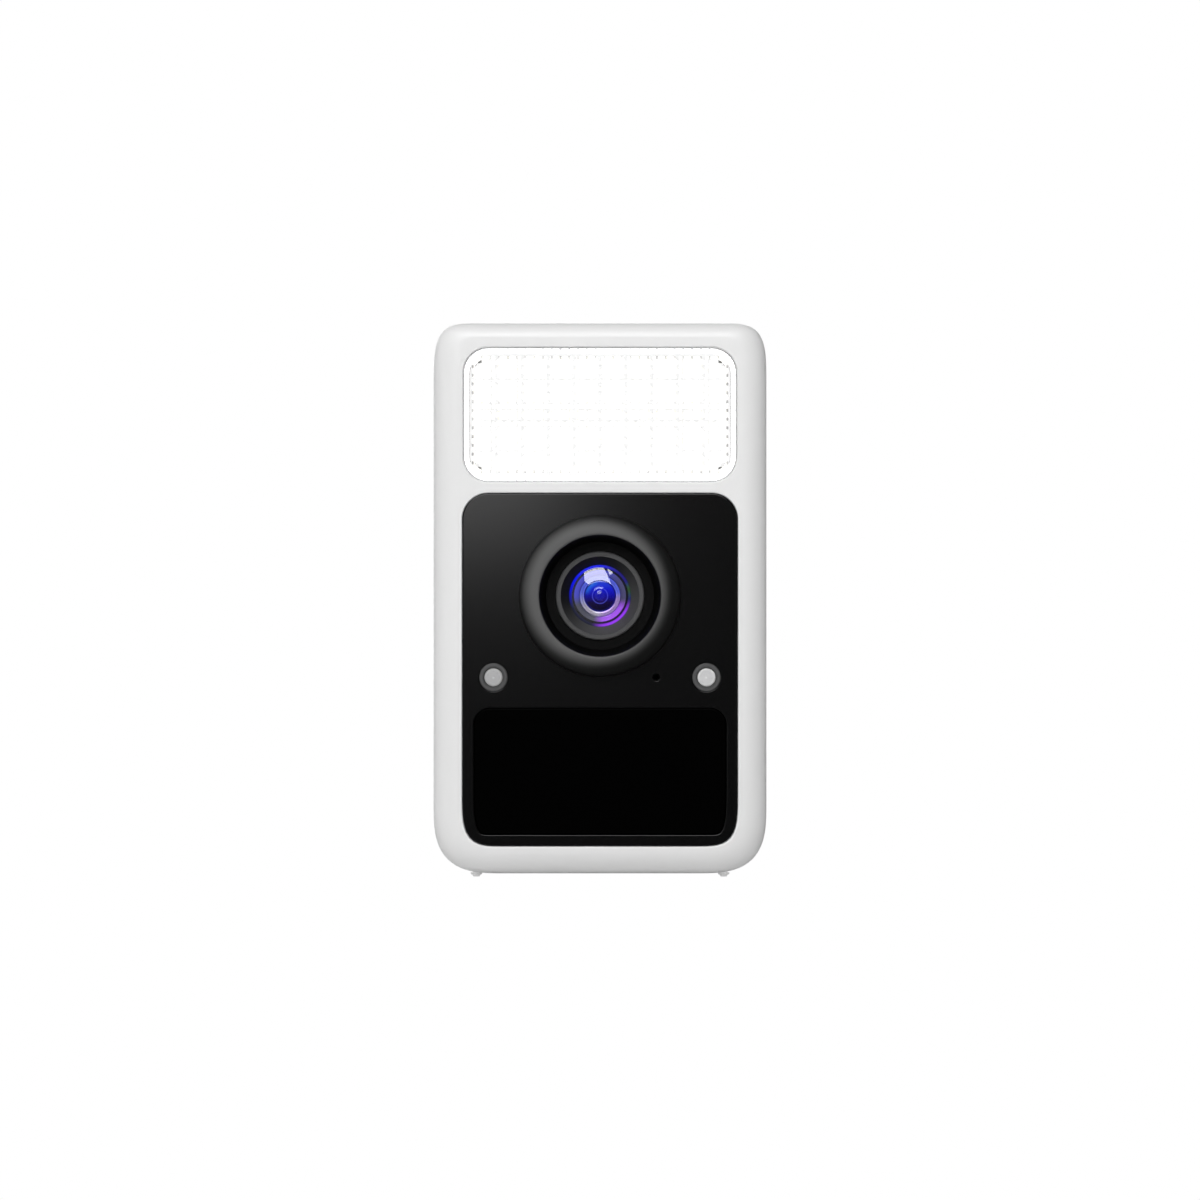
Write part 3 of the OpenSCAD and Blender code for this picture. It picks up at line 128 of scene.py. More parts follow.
def turn(bm, profile, x=0.0, z=0.0, steps=128):
    """Turns a profile of radius and depth points about a line along the depth."""
    verts = [bm.verts.new(((x + r) * MM, deep(t), z * MM)) for r, t in profile]
    edges = [bm.edges.new(pair) for pair in zip(verts, verts[1:])]
    if profile[0][0] > 0 or profile[-1][0] > 0:
        edges.append(bm.edges.new((verts[-1], verts[0])))
    bmesh.ops.spin(bm, geom=verts + edges, cent=(x * MM, 0, z * MM), axis=(0, 1, 0),
                   angle=2 * pi, steps=steps, use_merge=True)


def block(bm, x0, x1, t0, t1, z0, z1, round_edges=0.0, segments=3):
    made = bmesh.ops.create_cube(bm, size=1)["verts"]
    size = ((x1 - x0) * MM, (t1 - t0) * MM, (z1 - z0) * MM)
    bmesh.ops.scale(bm, vec=size, verts=made)
    bmesh.ops.translate(bm, verts=made, vec=((x0 + x1) / 2 * MM, (deep(t0) + deep(t1)) / 2,
                                             (z0 + z1) / 2 * MM))
    if round_edges:
        edges = list({edge for vert in made for edge in vert.link_edges})
        bmesh.ops.bevel(bm, geom=edges, offset=round_edges * MM, affect="EDGES",
                        segments=segments, profile=0.5, material=-1)


def rod(bm, x, z, t0, t1, r, steps=64):
    prism(bm, circle(x, z, r, steps), t0, t1)


def prism(bm, points, t0, t1):
    front, back = ring(bm, points, t0), ring(bm, points, t1)
    skin(bm, [front, back])
    fill(bm, front)
    fill(bm, back)


def finish_mesh(bm, name, crease=32, keep_flat=False):
    bmesh.ops.remove_doubles(bm, verts=bm.verts, dist=2e-6)
    bmesh.ops.recalc_face_normals(bm, faces=bm.faces)
    mesh = bpy.data.meshes.new(name)
    bm.to_mesh(mesh)
    bm.free()
    shade(mesh, crease, keep_flat)
    made = bpy.data.objects.new(name, mesh)
    scene.collection.objects.link(made)
    return made


def shade(mesh, crease=32, keep_flat=False):
    """Smooth faces between creases; a front or back face can stay flat up to its edges."""
    mesh.polygons.foreach_set("use_smooth", [True] * len(mesh.polygons))
    mesh.set_sharp_from_angle(angle=radians(crease))
    if not keep_flat:
        return
    bm = bmesh.new()
    bm.from_mesh(mesh)
    for edge in bm.edges:
        flat = [abs(face.normal.y) > 0.99999 for face in edge.link_faces]
        if any(flat) and not all(flat):
            edge.smooth = False
    bm.to_mesh(mesh)
    bm.free()


def combine(piece, tool, operation):
    """Cuts a tool out of a piece, or joins it on, for good."""
    step = piece.modifiers.new("combine", "BOOLEAN")
    step.object, step.operation, step.solver = tool, operation, "EXACT"
    graph = bpy.context.evaluated_depsgraph_get()
    graph.update()
    mesh = bpy.data.meshes.new_from_object(piece.evaluated_get(graph))
    piece.modifiers.clear()
    mesh.materials.clear()
    piece.data = mesh
    bpy.data.objects.remove(tool)
    shade(mesh)
    return piece


def fit(piece, body, slot_name, material, *stands_for, weighted=True):
    for one in material if isinstance(material, (list, tuple)) else [material]:
        piece.data.materials.append(one)
    if weighted:
        step = piece.modifiers.new("even shading", "WEIGHTED_NORMAL")
        step.keep_sharp = True
    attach(piece, body)
    if stands_for:
        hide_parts(*stands_for)
    return piece


# ---------- shared effects ----------

def new_group(name, inputs, outputs):
    group = bpy.data.node_groups.new(name, "ShaderNodeTree")
    for side, sockets in (("INPUT", inputs), ("OUTPUT", outputs)):
        for label, kind, *default in sockets:
            made = group.interface.new_socket(label, in_out=side, socket_type="NodeSocket" + kind)
            if default:
                made.default_value = default[0]
    return group, group.nodes.new("NodeGroupInput"), group.nodes.new("NodeGroupOutput")


def node(tree, kind, links=(), **values):
    made = tree.nodes.new("ShaderNode" + kind)
    for key, value in values.items():
        setattr(made, key, value)
    for socket, source in dict(links).items():
        if hasattr(source, "is_output"):
            tree.links.new(source, made.inputs[socket])
        else:
            made.inputs[socket].default_value = source
    return made


def math(tree, operation, *values, clamp=False):
    return node(tree, "Math", list(enumerate(values)), operation=operation,
                use_clamp=clamp).outputs[0]


def scaled(tree, value, low, high, out_low=0.0, out_high=1.0, smooth=True):
    return node(tree, "MapRange", {0: value, 1: low, 2: high, 3: out_low, 4: out_high},
                interpolation_type="SMOOTHSTEP" if smooth else "LINEAR").outputs[0]


def blend(tree, share, a, b):
    made = node(tree, "Mix", data_type="RGBA")
    for index, source in ((0, share), (6, a), (7, b)):
        if hasattr(source, "is_output"):
            tree.links.new(source, made.inputs[index])
        else:
            made.inputs[index].default_value = (*source, 1) if index else source
    return made.outputs[2]


def place(tree, x=0.0, z=0.0):
    """Object coordinates from a point on the face, in millimetres: x and z outputs."""
    where = node(tree, "TexCoord").outputs["Object"]
    split = node(tree, "SeparateXYZ", {0: where})
    dx = math(tree, "MULTIPLY_ADD", split.outputs["X"], 1 / MM, -x)
    dz = math(tree, "MULTIPLY_ADD", split.outputs["Z"], 1 / MM, -z)
    return dx, dz, split


def hypotenuse(tree, dx, dz):
    square = math(tree, "MULTIPLY_ADD", dx, dx, math(tree, "MULTIPLY", dz, dz))
    return math(tree, "SQRT", square)


def make_grain():
    """Fine moulded or cast grain, with slow shifts of tone and gloss."""
    group, given, out = new_group(
        "fine_grain",
        [("Colour", "Color"), ("Deep Colour", "Color"), ("Scale", "Float", 900.0),
         ("Gloss", "Float", 0.4), ("Gloss Spread", "Float", 0.05)],
        [("Colour", "Color"), ("Roughness", "Float"), ("Height", "Float")])
    where = node(group, "TexCoord").outputs["Object"]
    fine = node(group, "TexNoise", {"Vector": where, "Scale": given.outputs["Scale"],
                                    "Detail": 4.0, "Roughness": 0.6})
    slow = node(group, "TexNoise", {"Vector": where, "Scale": 38.0, "Detail": 3.0})
    share = math(group, "MULTIPLY", fine.outputs[0], slow.outputs[0], clamp=True)
    mix = node(group, "Mix", data_type="RGBA")
    group.links.new(share, mix.inputs[0])
    group.links.new(given.outputs["Colour"], mix.inputs[6])
    group.links.new(given.outputs["Deep Colour"], mix.inputs[7])
    spread = math(group, "SUBTRACT", slow.outputs[0], 0.5)
    gloss = math(group, "MULTIPLY_ADD", spread, given.outputs["Gloss Spread"],
                 given.outputs["Gloss"])
    group.links.new(mix.outputs[2], out.inputs["Colour"])
    group.links.new(gloss, out.inputs["Roughness"])
    group.links.new(fine.outputs[0], out.inputs["Height"])
    return group


def make_brushed():
    """Drawn or turned metal: long streaks along X."""
    group, given, out = new_group(
        "brushed_streaks",
        [("Colour", "Color"), ("Deep Colour", "Color"), ("Gloss", "Float", 0.3)],
        [("Colour", "Color"), ("Roughness", "Float"), ("Height", "Float")])
    where = node(group, "TexCoord").outputs["Object"]
    drawn = node(group, "Mapping", {"Vector": where, "Scale": (60.0, 2200.0, 2200.0)})
    streak = node(group, "TexNoise", {"Vector": drawn.outputs[0], "Scale": 1.0, "Detail": 3.0})
    mix = node(group, "Mix", data_type="RGBA")
    group.links.new(streak.outputs[0], mix.inputs[0])
    group.links.new(given.outputs["Colour"], mix.inputs[6])
    group.links.new(given.outputs["Deep Colour"], mix.inputs[7])
    gloss = math(group, "MULTIPLY_ADD", streak.outputs[0], 0.16, given.outputs["Gloss"])
    group.links.new(mix.outputs[2], out.inputs["Colour"])
    group.links.new(gloss, out.inputs["Roughness"])
    group.links.new(streak.outputs[0], out.inputs["Height"])
    return group


def make_ring_field():
    """Distance from the lens axis, and how far a point lies towards a side of it."""
    group, _, out = new_group(
        "ring_field", [], [("Radius", "Float"), ("Rightward", "Float"), ("Upward", "Float")])
    dx, dz, _ = place(group, 0.0, LENS_Z)
    radius = hypotenuse(group, dx, dz)
    group.links.new(radius, out.inputs["Radius"])
    safe = math(group, "MAXIMUM", radius, 0.01)
    group.links.new(math(group, "DIVIDE", dx, safe), out.inputs["Rightward"])
    group.links.new(math(group, "DIVIDE", dz, safe), out.inputs["Upward"])
    return group


GRAIN, BRUSHED, RING_FIELD = make_grain(), make_brushed(), make_ring_field()


def new_finish(name, **sockets):
    material = bpy.data.materials.new(name)
    material.use_nodes = True
    tree = material.node_tree
    shader = tree.nodes["Principled BSDF"]
    for socket, value in sockets.items():
        shader.inputs[socket.replace("_", " ")].default_value = value
    return material, tree, shader


def bump(tree, shader, height, strength, distance):
    made = node(tree, "Bump", {"Height": height, "Strength": strength, "Distance": distance * MM})
    tree.links.new(made.outputs[0], shader.inputs["Normal"])


def moulded(name, colour, deep_colour=None, gloss=0.4, spread=0.06, scale=900.0,
            relief=0.02, **sockets):
    """Moulded plastic, rubber, lacquer or cast metal."""
    material, tree, shader = new_finish(name, **sockets)
    grain = tree.nodes.new("ShaderNodeGroup")
    grain.node_tree = GRAIN
    values = {"Colour": (*colour, 1), "Scale": scale, "Gloss": gloss, "Gloss Spread": spread,
              "Deep Colour": (*(deep_colour or [c * 0.9 for c in colour]), 1)}
    for socket, value in values.items():
        grain.inputs[socket].default_value = value
    tree.links.new(grain.outputs["Colour"], shader.inputs["Base Color"])
    tree.links.new(grain.outputs["Roughness"], shader.inputs["Roughness"])
    bump(tree, shader, grain.outputs["Height"], 0.5, relief)
    return material


def drawn_metal(name, colour, deep_colour, gloss=0.3, **sockets):
    material, tree, shader = new_finish(name, Metallic=1.0, **sockets)
    streaks = tree.nodes.new("ShaderNodeGroup")
    streaks.node_tree = BRUSHED
    for socket, value in {"Colour": (*colour, 1), "Deep Colour": (*deep_colour, 1),
                          "Gloss": gloss}.items():
        streaks.inputs[socket].default_value = value
    tree.links.new(streaks.outputs["Colour"], shader.inputs["Base Color"])
    tree.links.new(streaks.outputs["Roughness"], shader.inputs["Roughness"])
    bump(tree, shader, streaks.outputs["Height"], 0.3, 0.01)
    return material


# ---------- finishes ----------

casing = moulded("casing_white", (0.80, 0.80, 0.80), (0.77, 0.77, 0.765), gloss=0.42,
                 scale=2600.0, relief=0.008)
# The feet glow faintly: painted light in place of the light that the shade under the body keeps off
# them.
foot_rubber_painted_glow = moulded("foot_pale_rubber_painted_glow", (0.80, 0.80, 0.80), (0.74, 0.74, 0.74), gloss=0.7,
                       Emission_Color=(1, 1, 1, 1), Emission_Strength=0.27)
seal_rubber = moulded("seal_rubber", (0.012, 0.012, 0.012), (0.008, 0.008, 0.008), gloss=0.7,
                      Specular_IOR_Level=0.2)
plug_rubber = moulded("plug_rubber", (0.70, 0.70, 0.695), (0.62, 0.62, 0.62), gloss=0.62)
steel = drawn_metal("zinc_steel", (0.66, 0.66, 0.67), (0.45, 0.45, 0.47), 0.26)
heatsink_metal = drawn_metal("heatsink_aluminium", (0.74, 0.74, 0.76), (0.55, 0.55, 0.57), 0.34)
nickel = drawn_metal("nickel_plate", (0.55, 0.55, 0.56), (0.4, 0.4, 0.41), 0.22)
copper = drawn_metal("wound_copper", (0.72, 0.36, 0.17), (0.45, 0.2, 0.09), 0.3)
brass = drawn_metal("turned_brass", (0.80, 0.58, 0.26), (0.62, 0.42, 0.16), 0.24)
gold_film = moulded("gold_film", (0.75, 0.5, 0.2), (0.5, 0.3, 0.1), gloss=0.3, Metallic=0.8)
inner_black = moulded("matte_black_inside", (0.03, 0.03, 0.031), (0.02, 0.02, 0.02), gloss=0.6)
chassis_black = moulded("chassis_black", (0.10, 0.10, 0.105), (0.07, 0.07, 0.075), gloss=0.55)
speaker_black = moulded("speaker_cone", (0.05, 0.05, 0.05), (0.03, 0.03, 0.03), gloss=0.7)
card_plastic = moulded("card_plastic", (0.04, 0.04, 0.045), (0.03, 0.03, 0.03), gloss=0.45)
button_grey = moulded("button_grey", (0.28, 0.28, 0.29), (0.22, 0.22, 0.23), gloss=0.5)
chip_package = moulded("chip_package", (0.06, 0.065, 0.07), (0.04, 0.04, 0.045), gloss=0.35)
cell_wrap = moulded("cell_wrap", (0.05, 0.30, 0.17), (0.03, 0.22, 0.12), gloss=0.22,
                    spread=0.1, scale=90.0, relief=0.06, Coat_Weight=0.5, Coat_Roughness=0.15)
red_wire = moulded("wire_red", (0.5, 0.03, 0.03), (0.35, 0.02, 0.02), gloss=0.35)
panel_black = moulded("panel_black", (0.0030, 0.0030, 0.0032), (0.0026, 0.0026, 0.0026),
                      gloss=0.10, spread=0.01, scale=3000.0, relief=0.0004)
pir_black = moulded("pir_black", (0.0004, 0.0004, 0.0004), (0.0002, 0.0002, 0.0002),
                    gloss=0.42, spread=0.04, scale=1800.0, relief=0.004, Specular_IOR_Level=0.02)
surround_black = moulded("surround_black", (0.003, 0.003, 0.0031), (0.002, 0.002, 0.0021),
                         gloss=0.5, spread=0.05, scale=2500.0, relief=0.004,
                         Specular_IOR_Level=0.14)
# The reflector and the lamp board glow: painted light in place of the light that reaches them
# through the clear lens.
reflector_white_painted_glow = moulded("reflector_white_painted_glow", (0.5, 0.5, 0.5), (0.46, 0.46, 0.46), gloss=0.4,
                          Emission_Color=(1, 1, 1, 1), Emission_Strength=0.76)
light_board_white_painted_glow = moulded("light_board_white_painted_glow", (0.5, 0.5, 0.5), (0.46, 0.46, 0.46), gloss=0.4,
                            Emission_Color=(1, 1, 1, 1), Emission_Strength=0.76)
led_phosphor = moulded("led_phosphor", (0.95, 0.86, 0.45), (0.9, 0.75, 0.35), gloss=0.25,
                       Emission_Color=(1, 0.98, 0.93, 1), Emission_Strength=0.8)
# The light seal glows too: painted light in place of the light that reaches it through the clear
# lens.
light_seal_white_painted_glow = moulded("light_seal_white_painted_glow", (0.9, 0.9, 0.9), (0.85, 0.85, 0.85), gloss=0.6,
                           Emission_Color=(1, 1, 1, 1), Emission_Strength=1.1)
clear_filter = moulded("filter_clear", (0.95, 0.95, 0.95), (0.93, 0.93, 0.93), gloss=0.03,
                       spread=0.01, relief=0.0, Transmission_Weight=1.0)
coated_filter = moulded("filter_coated", (0.55, 0.85, 0.85), (0.5, 0.75, 0.85), gloss=0.03,
                        spread=0.01, relief=0.0, Transmission_Weight=1.0)


def make_board():
    """Green solder mask with faint tracks and pads."""
    material, tree, shader = new_finish("board_green", Coat_Weight=0.4, Coat_Roughness=0.2)
    where = node(tree, "TexCoord").outputs["Object"]
    cells = node(tree, "TexVoronoi", {"Vector": where, "Scale": 210.0}, distance="CHEBYCHEV")
    tracks = scaled(tree, cells.outputs["Distance"], 0.42, 0.5)
    fine = node(tree, "TexNoise", {"Vector": where, "Scale": 420.0, "Detail": 3.0}).outputs[0]
    pads = scaled(tree, cells.outputs["Distance"], 0.1, 0.07)
    green = blend(tree, tracks, (0.012, 0.13, 0.05), (0.03, 0.24, 0.09))
    colour = blend(tree, pads, green, (0.62, 0.55, 0.34))
    tree.links.new(colour, shader.inputs["Base Color"])
    tree.links.new(scaled(tree, fine, 0.2, 0.8, 0.26, 0.42), shader.inputs["Roughness"])
    bump(tree, shader, tracks, 0.3, 0.02)
    return material


def make_light_lens():
    """Clear lens over the lamps. A small grey spot at each prism's corner is painted shade for its
    refraction; a grey band along the opening's edge is painted shadow of the gap round the lens;
    the lens has a faint painted glow.
    """
    material, tree, shader = new_finish("light_lens_painted_shade", Transmission_Weight=1.0, IOR=1.49)
    pitch = 1.893
    dx, dz, _ = place(tree, 0.0, (LIGHT[1] + LIGHT[2]) / 2)

    def to_line(value, step, offset):
        moved = math(tree, "ADD", math(tree, "DIVIDE", value, step), 200 + offset)
        part = math(tree, "FRACT", moved)
        past_middle = math(tree, "SUBTRACT", part, 0.5)
        return math(tree, "MULTIPLY", math(tree, "ABSOLUTE", past_middle), step)

    across = to_line(dx, pitch, 0.0)
    up = to_line(dz, pitch, 0.0)
    # Painted shade spots at the prisms' corners, stronger in every third column near the middle row
    # and towards the rim.
    spot = math(tree, "MULTIPLY", scaled(tree, across, 0.36, 0.14), scaled(tree, up, 0.5, 0.22))
    column = scaled(tree, to_line(dx, 3 * pitch, 0.5), 0.7, 0.3, 0.3, 1.0)
    height = math(tree, "ABSOLUTE", dz)
    rim_rows = scaled(tree, height, 11.0, 13.4, 0.0, 0.9)
    rim_columns = scaled(tree, math(tree, "ABSOLUTE", dx), 25.5, 28.2, 0.0, 0.9)
    middle = scaled(tree, height, 4.5, 1.2, 0.25, 0.8)
    share = math(tree, "MAXIMUM", math(tree, "MULTIPLY", column, middle),
                 math(tree, "MAXIMUM", rim_rows, rim_columns))
    slow = node(tree, "TexNoise", {"Vector": node(tree, "TexCoord").outputs["Object"],
                                   "Scale": 160.0}).outputs[0]
    share = math(tree, "MULTIPLY", share, scaled(tree, slow, 0.3, 0.7, 0.55, 1.15))
    painted_shade_marks = math(tree, "MULTIPLY", spot, share, clamp=True)
    corner = LIGHT[3][0]
    past_x = math(tree, "SUBTRACT", math(tree, "ABSOLUTE", dx), LIGHT[0] - corner)
    past_z = math(tree, "SUBTRACT", height, (LIGHT[2] - LIGHT[1]) / 2 - corner)
    out_x, out_z = (math(tree, "MAXIMUM", past, 0.0) for past in (past_x, past_z))
    reach = hypotenuse(tree, out_x, out_z)
    # A grey band along the opening's edge: painted shadow of the gap round the lens.
    edge = scaled(tree, reach, corner - 0.32, corner - 0.12)
    painted_shade_marks = math(tree, "MAXIMUM", painted_shade_marks, math(tree, "MULTIPLY", edge, 0.9), clamp=True)
    tree.links.new(blend(tree, painted_shade_marks, (1, 1, 1), (0.22, 0.22, 0.23)), shader.inputs["Base Color"])
    # A faint painted glow.
    glow(tree, shader, blend(tree, painted_shade_marks, (1, 1, 1), (0.1, 0.1, 0.1)), 0.015)
    tree.links.new(scaled(tree, slow, 0.2, 0.8, 0.02, 0.05), shader.inputs["Roughness"])
    return material


def ring_values(tree):
    field = tree.nodes.new("ShaderNodeGroup")
    field.node_tree = RING_FIELD
    return [field.outputs[key] for key in ("Radius", "Rightward", "Upward")]


def ramp(tree, value, stops):
    made = node(tree, "ValToRGB", {0: value})
    strip = made.color_ramp
    while len(strip.elements) < len(stops):
        strip.elements.new(0.5)
    for element, (position, colour) in zip(strip.elements, stops):
        element.position = position
        element.color = (*colour, 1)
    return made.outputs[0]


def tinted(tree, colour, shape):
    """One colour times another."""
    lit = node(tree, "Mix", data_type="RGBA", blend_type="MULTIPLY")
    lit.inputs[0].default_value = 1.0
    tree.links.new(colour, lit.inputs[6])
    tree.links.new(shape, lit.inputs[7])
    return lit.outputs[2]


def glow(tree, shader, colour, strength):
    tree.links.new(colour, shader.inputs["Emission Color"])
    shader.inputs["Emission Strength"].default_value = strength


def make_bezel():
    """Satin black ring that is lightest at its inner lip, with painted shade: darker towards its
    outer edge and more so to the lower right, and near black inside the lip.
    """
    material, tree, shader = new_finish("bezel_satin_painted_shade", Specular_IOR_Level=0.2)
    radius, right, up = ring_values(tree)
    # Painted shade: darker towards the outer edge, and more so to the lower right.
    painted_shade_side = math(tree, "MULTIPLY_ADD", right, 1.1, math(tree, "MULTIPLY", up, -0.7))
    reach = math(tree, "ADD", radius, painted_shade_side)
    tone = scaled(tree, reach, 13.3, 16.9)
    colour = ramp(tree, tone, [(0.0, (0.10, 0.10, 0.10)), (0.4, (0.06, 0.06, 0.06)),
                               (0.8, (0.02, 0.02, 0.02)), (1.0, (0.006, 0.006, 0.006))])
    # Inside the lip the cone is painted near black, as painted shade.
    inside = scaled(tree, radius, 13.05, 13.25)
    tree.links.new(blend(tree, inside, (0.0002, 0.0002, 0.0002), colour),
                   shader.inputs["Base Color"])
    fine = node(tree, "TexNoise", {"Vector": node(tree, "TexCoord").outputs["Object"],
                                   "Scale": 2400.0, "Detail": 3.0}).outputs[0]
    tree.links.new(scaled(tree, fine, 0.2, 0.8, 0.46, 0.56), shader.inputs["Roughness"])
    bump(tree, shader, fine, 0.3, 0.003)
    return material


def make_anodised(name, light, dark, gloss, painted_shade_level=1.0, rings=900.0):
    """Black anodised, turned in the lathe: fine rings round the lens axis; its upper left side is
    painted darker, as painted shade.
    """
    material, tree, shader = new_finish(name, Specular_IOR_Level=0.4)
    radius, right, up = ring_values(tree)
    turned = node(tree, "TexNoise", {"W": math(tree, "MULTIPLY", radius, rings / 100),
                                     "Scale": 1.0, "Detail": 2.0}, noise_dimensions="1D").outputs[0]
    colour = blend(tree, scaled(tree, turned, 0.3, 0.7), dark, light)
    # Painted shade: the upper left side is painted darker than the lower right.
    painted_lit_side = scaled(tree, math(tree, "SUBTRACT", math(tree, "MULTIPLY", right, 0.75), up),
                      -0.9, 1.0)
    colour = blend(tree, painted_lit_side, [painted_shade_level * c for c in dark], colour)
    tree.links.new(colour, shader.inputs["Base Color"])
    tree.links.new(scaled(tree, turned, 0.2, 0.8, gloss - 0.05, gloss + 0.05),
                   shader.inputs["Roughness"])
    bump(tree, shader, turned, 0.25, 0.01)
    return material


def make_front_coat(name, coat):
    """Clear dome; its front has a hard, shiny coating and its back has none."""
    material, tree, shader = new_finish(name, Transmission_Weight=1.0, IOR=1.0,
                                        Coat_Weight=coat, Coat_IOR=2.1, Coat_Roughness=0.0)
    radius = ring_values(tree)[0]
    outward = scaled(tree, radius, 2.0, 6.0)
    tree.links.new(blend(tree, outward, (0.93, 0.95, 1.0), (0.86, 0.88, 1.0)),
                   shader.inputs["Base Color"])
    tree.links.new(scaled(tree, radius, 0.0, 7.0, 0.0, 0.01), shader.inputs["Roughness"])
    return material


def painted_coat_reflection(tree, right, up, blue, grey, violet):
    """Painted reflection colours round a coated ring: blue above, grey at lower left, violet at
    lower right.
    """
    low_right = math(tree, "SUBTRACT", math(tree, "MULTIPLY", right, 0.55),
                     math(tree, "MULTIPLY", up, 0.83))
    base = blend(tree, scaled(tree, up, -0.45, 0.1), grey, blue)
    return blend(tree, scaled(tree, low_right, 0.62, 0.97), base, violet)


def make_rim_coat():
    # The coloured rim of the front lens: painted reflection colours of its coating, darker towards
    # the right, a painted ramp of light across its radius, and a painted glow.
    material, tree, shader = new_finish("front_glass_rim_painted_reflection", Coat_Weight=1.0, Coat_IOR=1.7,
                                        Coat_Roughness=0.02, Specular_IOR_Level=0.2)
    radius, right, up = ring_values(tree)
    blue = blend(tree, scaled(tree, up, -0.1, 0.6), (0.01, 0.01, 0.34), (0.004, 0.01, 0.86))
    blue = blend(tree, scaled(tree, right, -0.1, 0.7), blue, (0.02, 0.015, 0.2))
    grey = (0.02, 0.022, 0.045)
    painted_reflection_colour = painted_coat_reflection(tree, right, up, blue, grey, (0.33, 0.05, 0.95))
    # A small painted green reflection on the right side.
    green = math(tree, "MULTIPLY", scaled(tree, right, 0.86, 0.99),
                 scaled(tree, up, -0.2, 0.25))
    painted_reflection_colour = blend(tree, green, painted_reflection_colour, (0.03, 0.085, 0.015))
    shape = ramp(tree, scaled(tree, radius, 5.85, 6.75, smooth=False),
                 [(0.0, (0, 0, 0)), (0.16, (0.0, 0.0, 0.01)), (0.34, (0.75, 0.75, 0.75)),
                  (0.7, (1, 1, 1)), (0.92, (0.55, 0.55, 0.55)), (1.0, (0.0, 0.0, 0.0))])
    lit = tinted(tree, painted_reflection_colour, shape)
    tree.links.new(blend(tree, 0.85, lit, (0.0, 0.0, 0.004)), shader.inputs["Base Color"])
    glow(tree, shader, lit, 1.0)
    tree.links.new(scaled(tree, radius, 5.8, 6.8, 0.05, 0.09), shader.inputs["Roughness"])
    return material


def make_inner_coat():
    """The coated spacer behind the dome, with painted reflection colours of its coating, a painted
    ramp of light and shade across its radius, and a painted glow.
    """
    material, tree, shader = new_finish("spacer_coat_painted_reflection", Specular_IOR_Level=0.4)
    radius, right, up = ring_values(tree)
    blue = blend(tree, scaled(tree, right, 0.1, 0.95), (0.07, 0.075, 0.52), (0.075, 0.07, 0.16))
    painted_reflection_colour = painted_coat_reflection(tree, right, up, blue, (0.07, 0.07, 0.085), (0.42, 0.09, 0.82))
    # A painted ramp of light and shade across the radius; the glow below is painted light too.
    shape = ramp(tree, scaled(tree, radius, 4.4, 6.0, smooth=False),
                 [(0.0, (0, 0, 0)), (0.05, (0.25, 0.25, 0.4)), (0.16, (0.9, 0.9, 0.95)),
                  (0.55, (1, 1, 1)), (0.84, (1.2, 1.2, 1.2)), (0.93, (0.05, 0.05, 0.1))])
    lit = tinted(tree, painted_reflection_colour, shape)
    tree.links.new(blend(tree, 0.8, lit, (0, 0, 0)), shader.inputs["Base Color"])
    glow(tree, shader, lit, 1.0)
    tree.links.new(scaled(tree, radius, 4.4, 6.0, 0.25, 0.35), shader.inputs["Roughness"])
    return material


def make_silver_coat():
    # Silver iris ring with painted reflection and light: blue towards the top, lighter silver
    # towards the bottom, violet at the lower right, painted lighter bands across its radius, and a
    # painted glow.
    material, tree, shader = new_finish("iris_ring_silver_painted_reflection", Metallic=0.6)
    radius, right, up = ring_values(tree)
    low = scaled(tree, up, 0.35, -0.75)
    colour = blend(tree, low, (0.10, 0.13, 0.62), (0.40, 0.37, 0.40))
    colour = blend(tree, scaled(tree, math(tree, "SUBTRACT", right, up), 0.75, 1.3), colour,
                   (0.33, 0.22, 0.44))
    shape = ramp(tree, scaled(tree, radius, 3.45, 4.5, smooth=False),
                 [(0.0, (0.15, 0.15, 0.5)), (0.14, (1.3, 1.3, 1.3)), (0.4, (0.92, 0.92, 0.92)),
                  (0.8, (1.1, 1.1, 1.1)), (0.97, (0.2, 0.2, 0.3))])
    lit = tinted(tree, colour, shape)
    tree.links.new(lit, shader.inputs["Base Color"])
    glow(tree, shader, lit, 0.85)
    tree.links.new(scaled(tree, radius, 3.4, 4.6, 0.25, 0.3), shader.inputs["Roughness"])
    return material


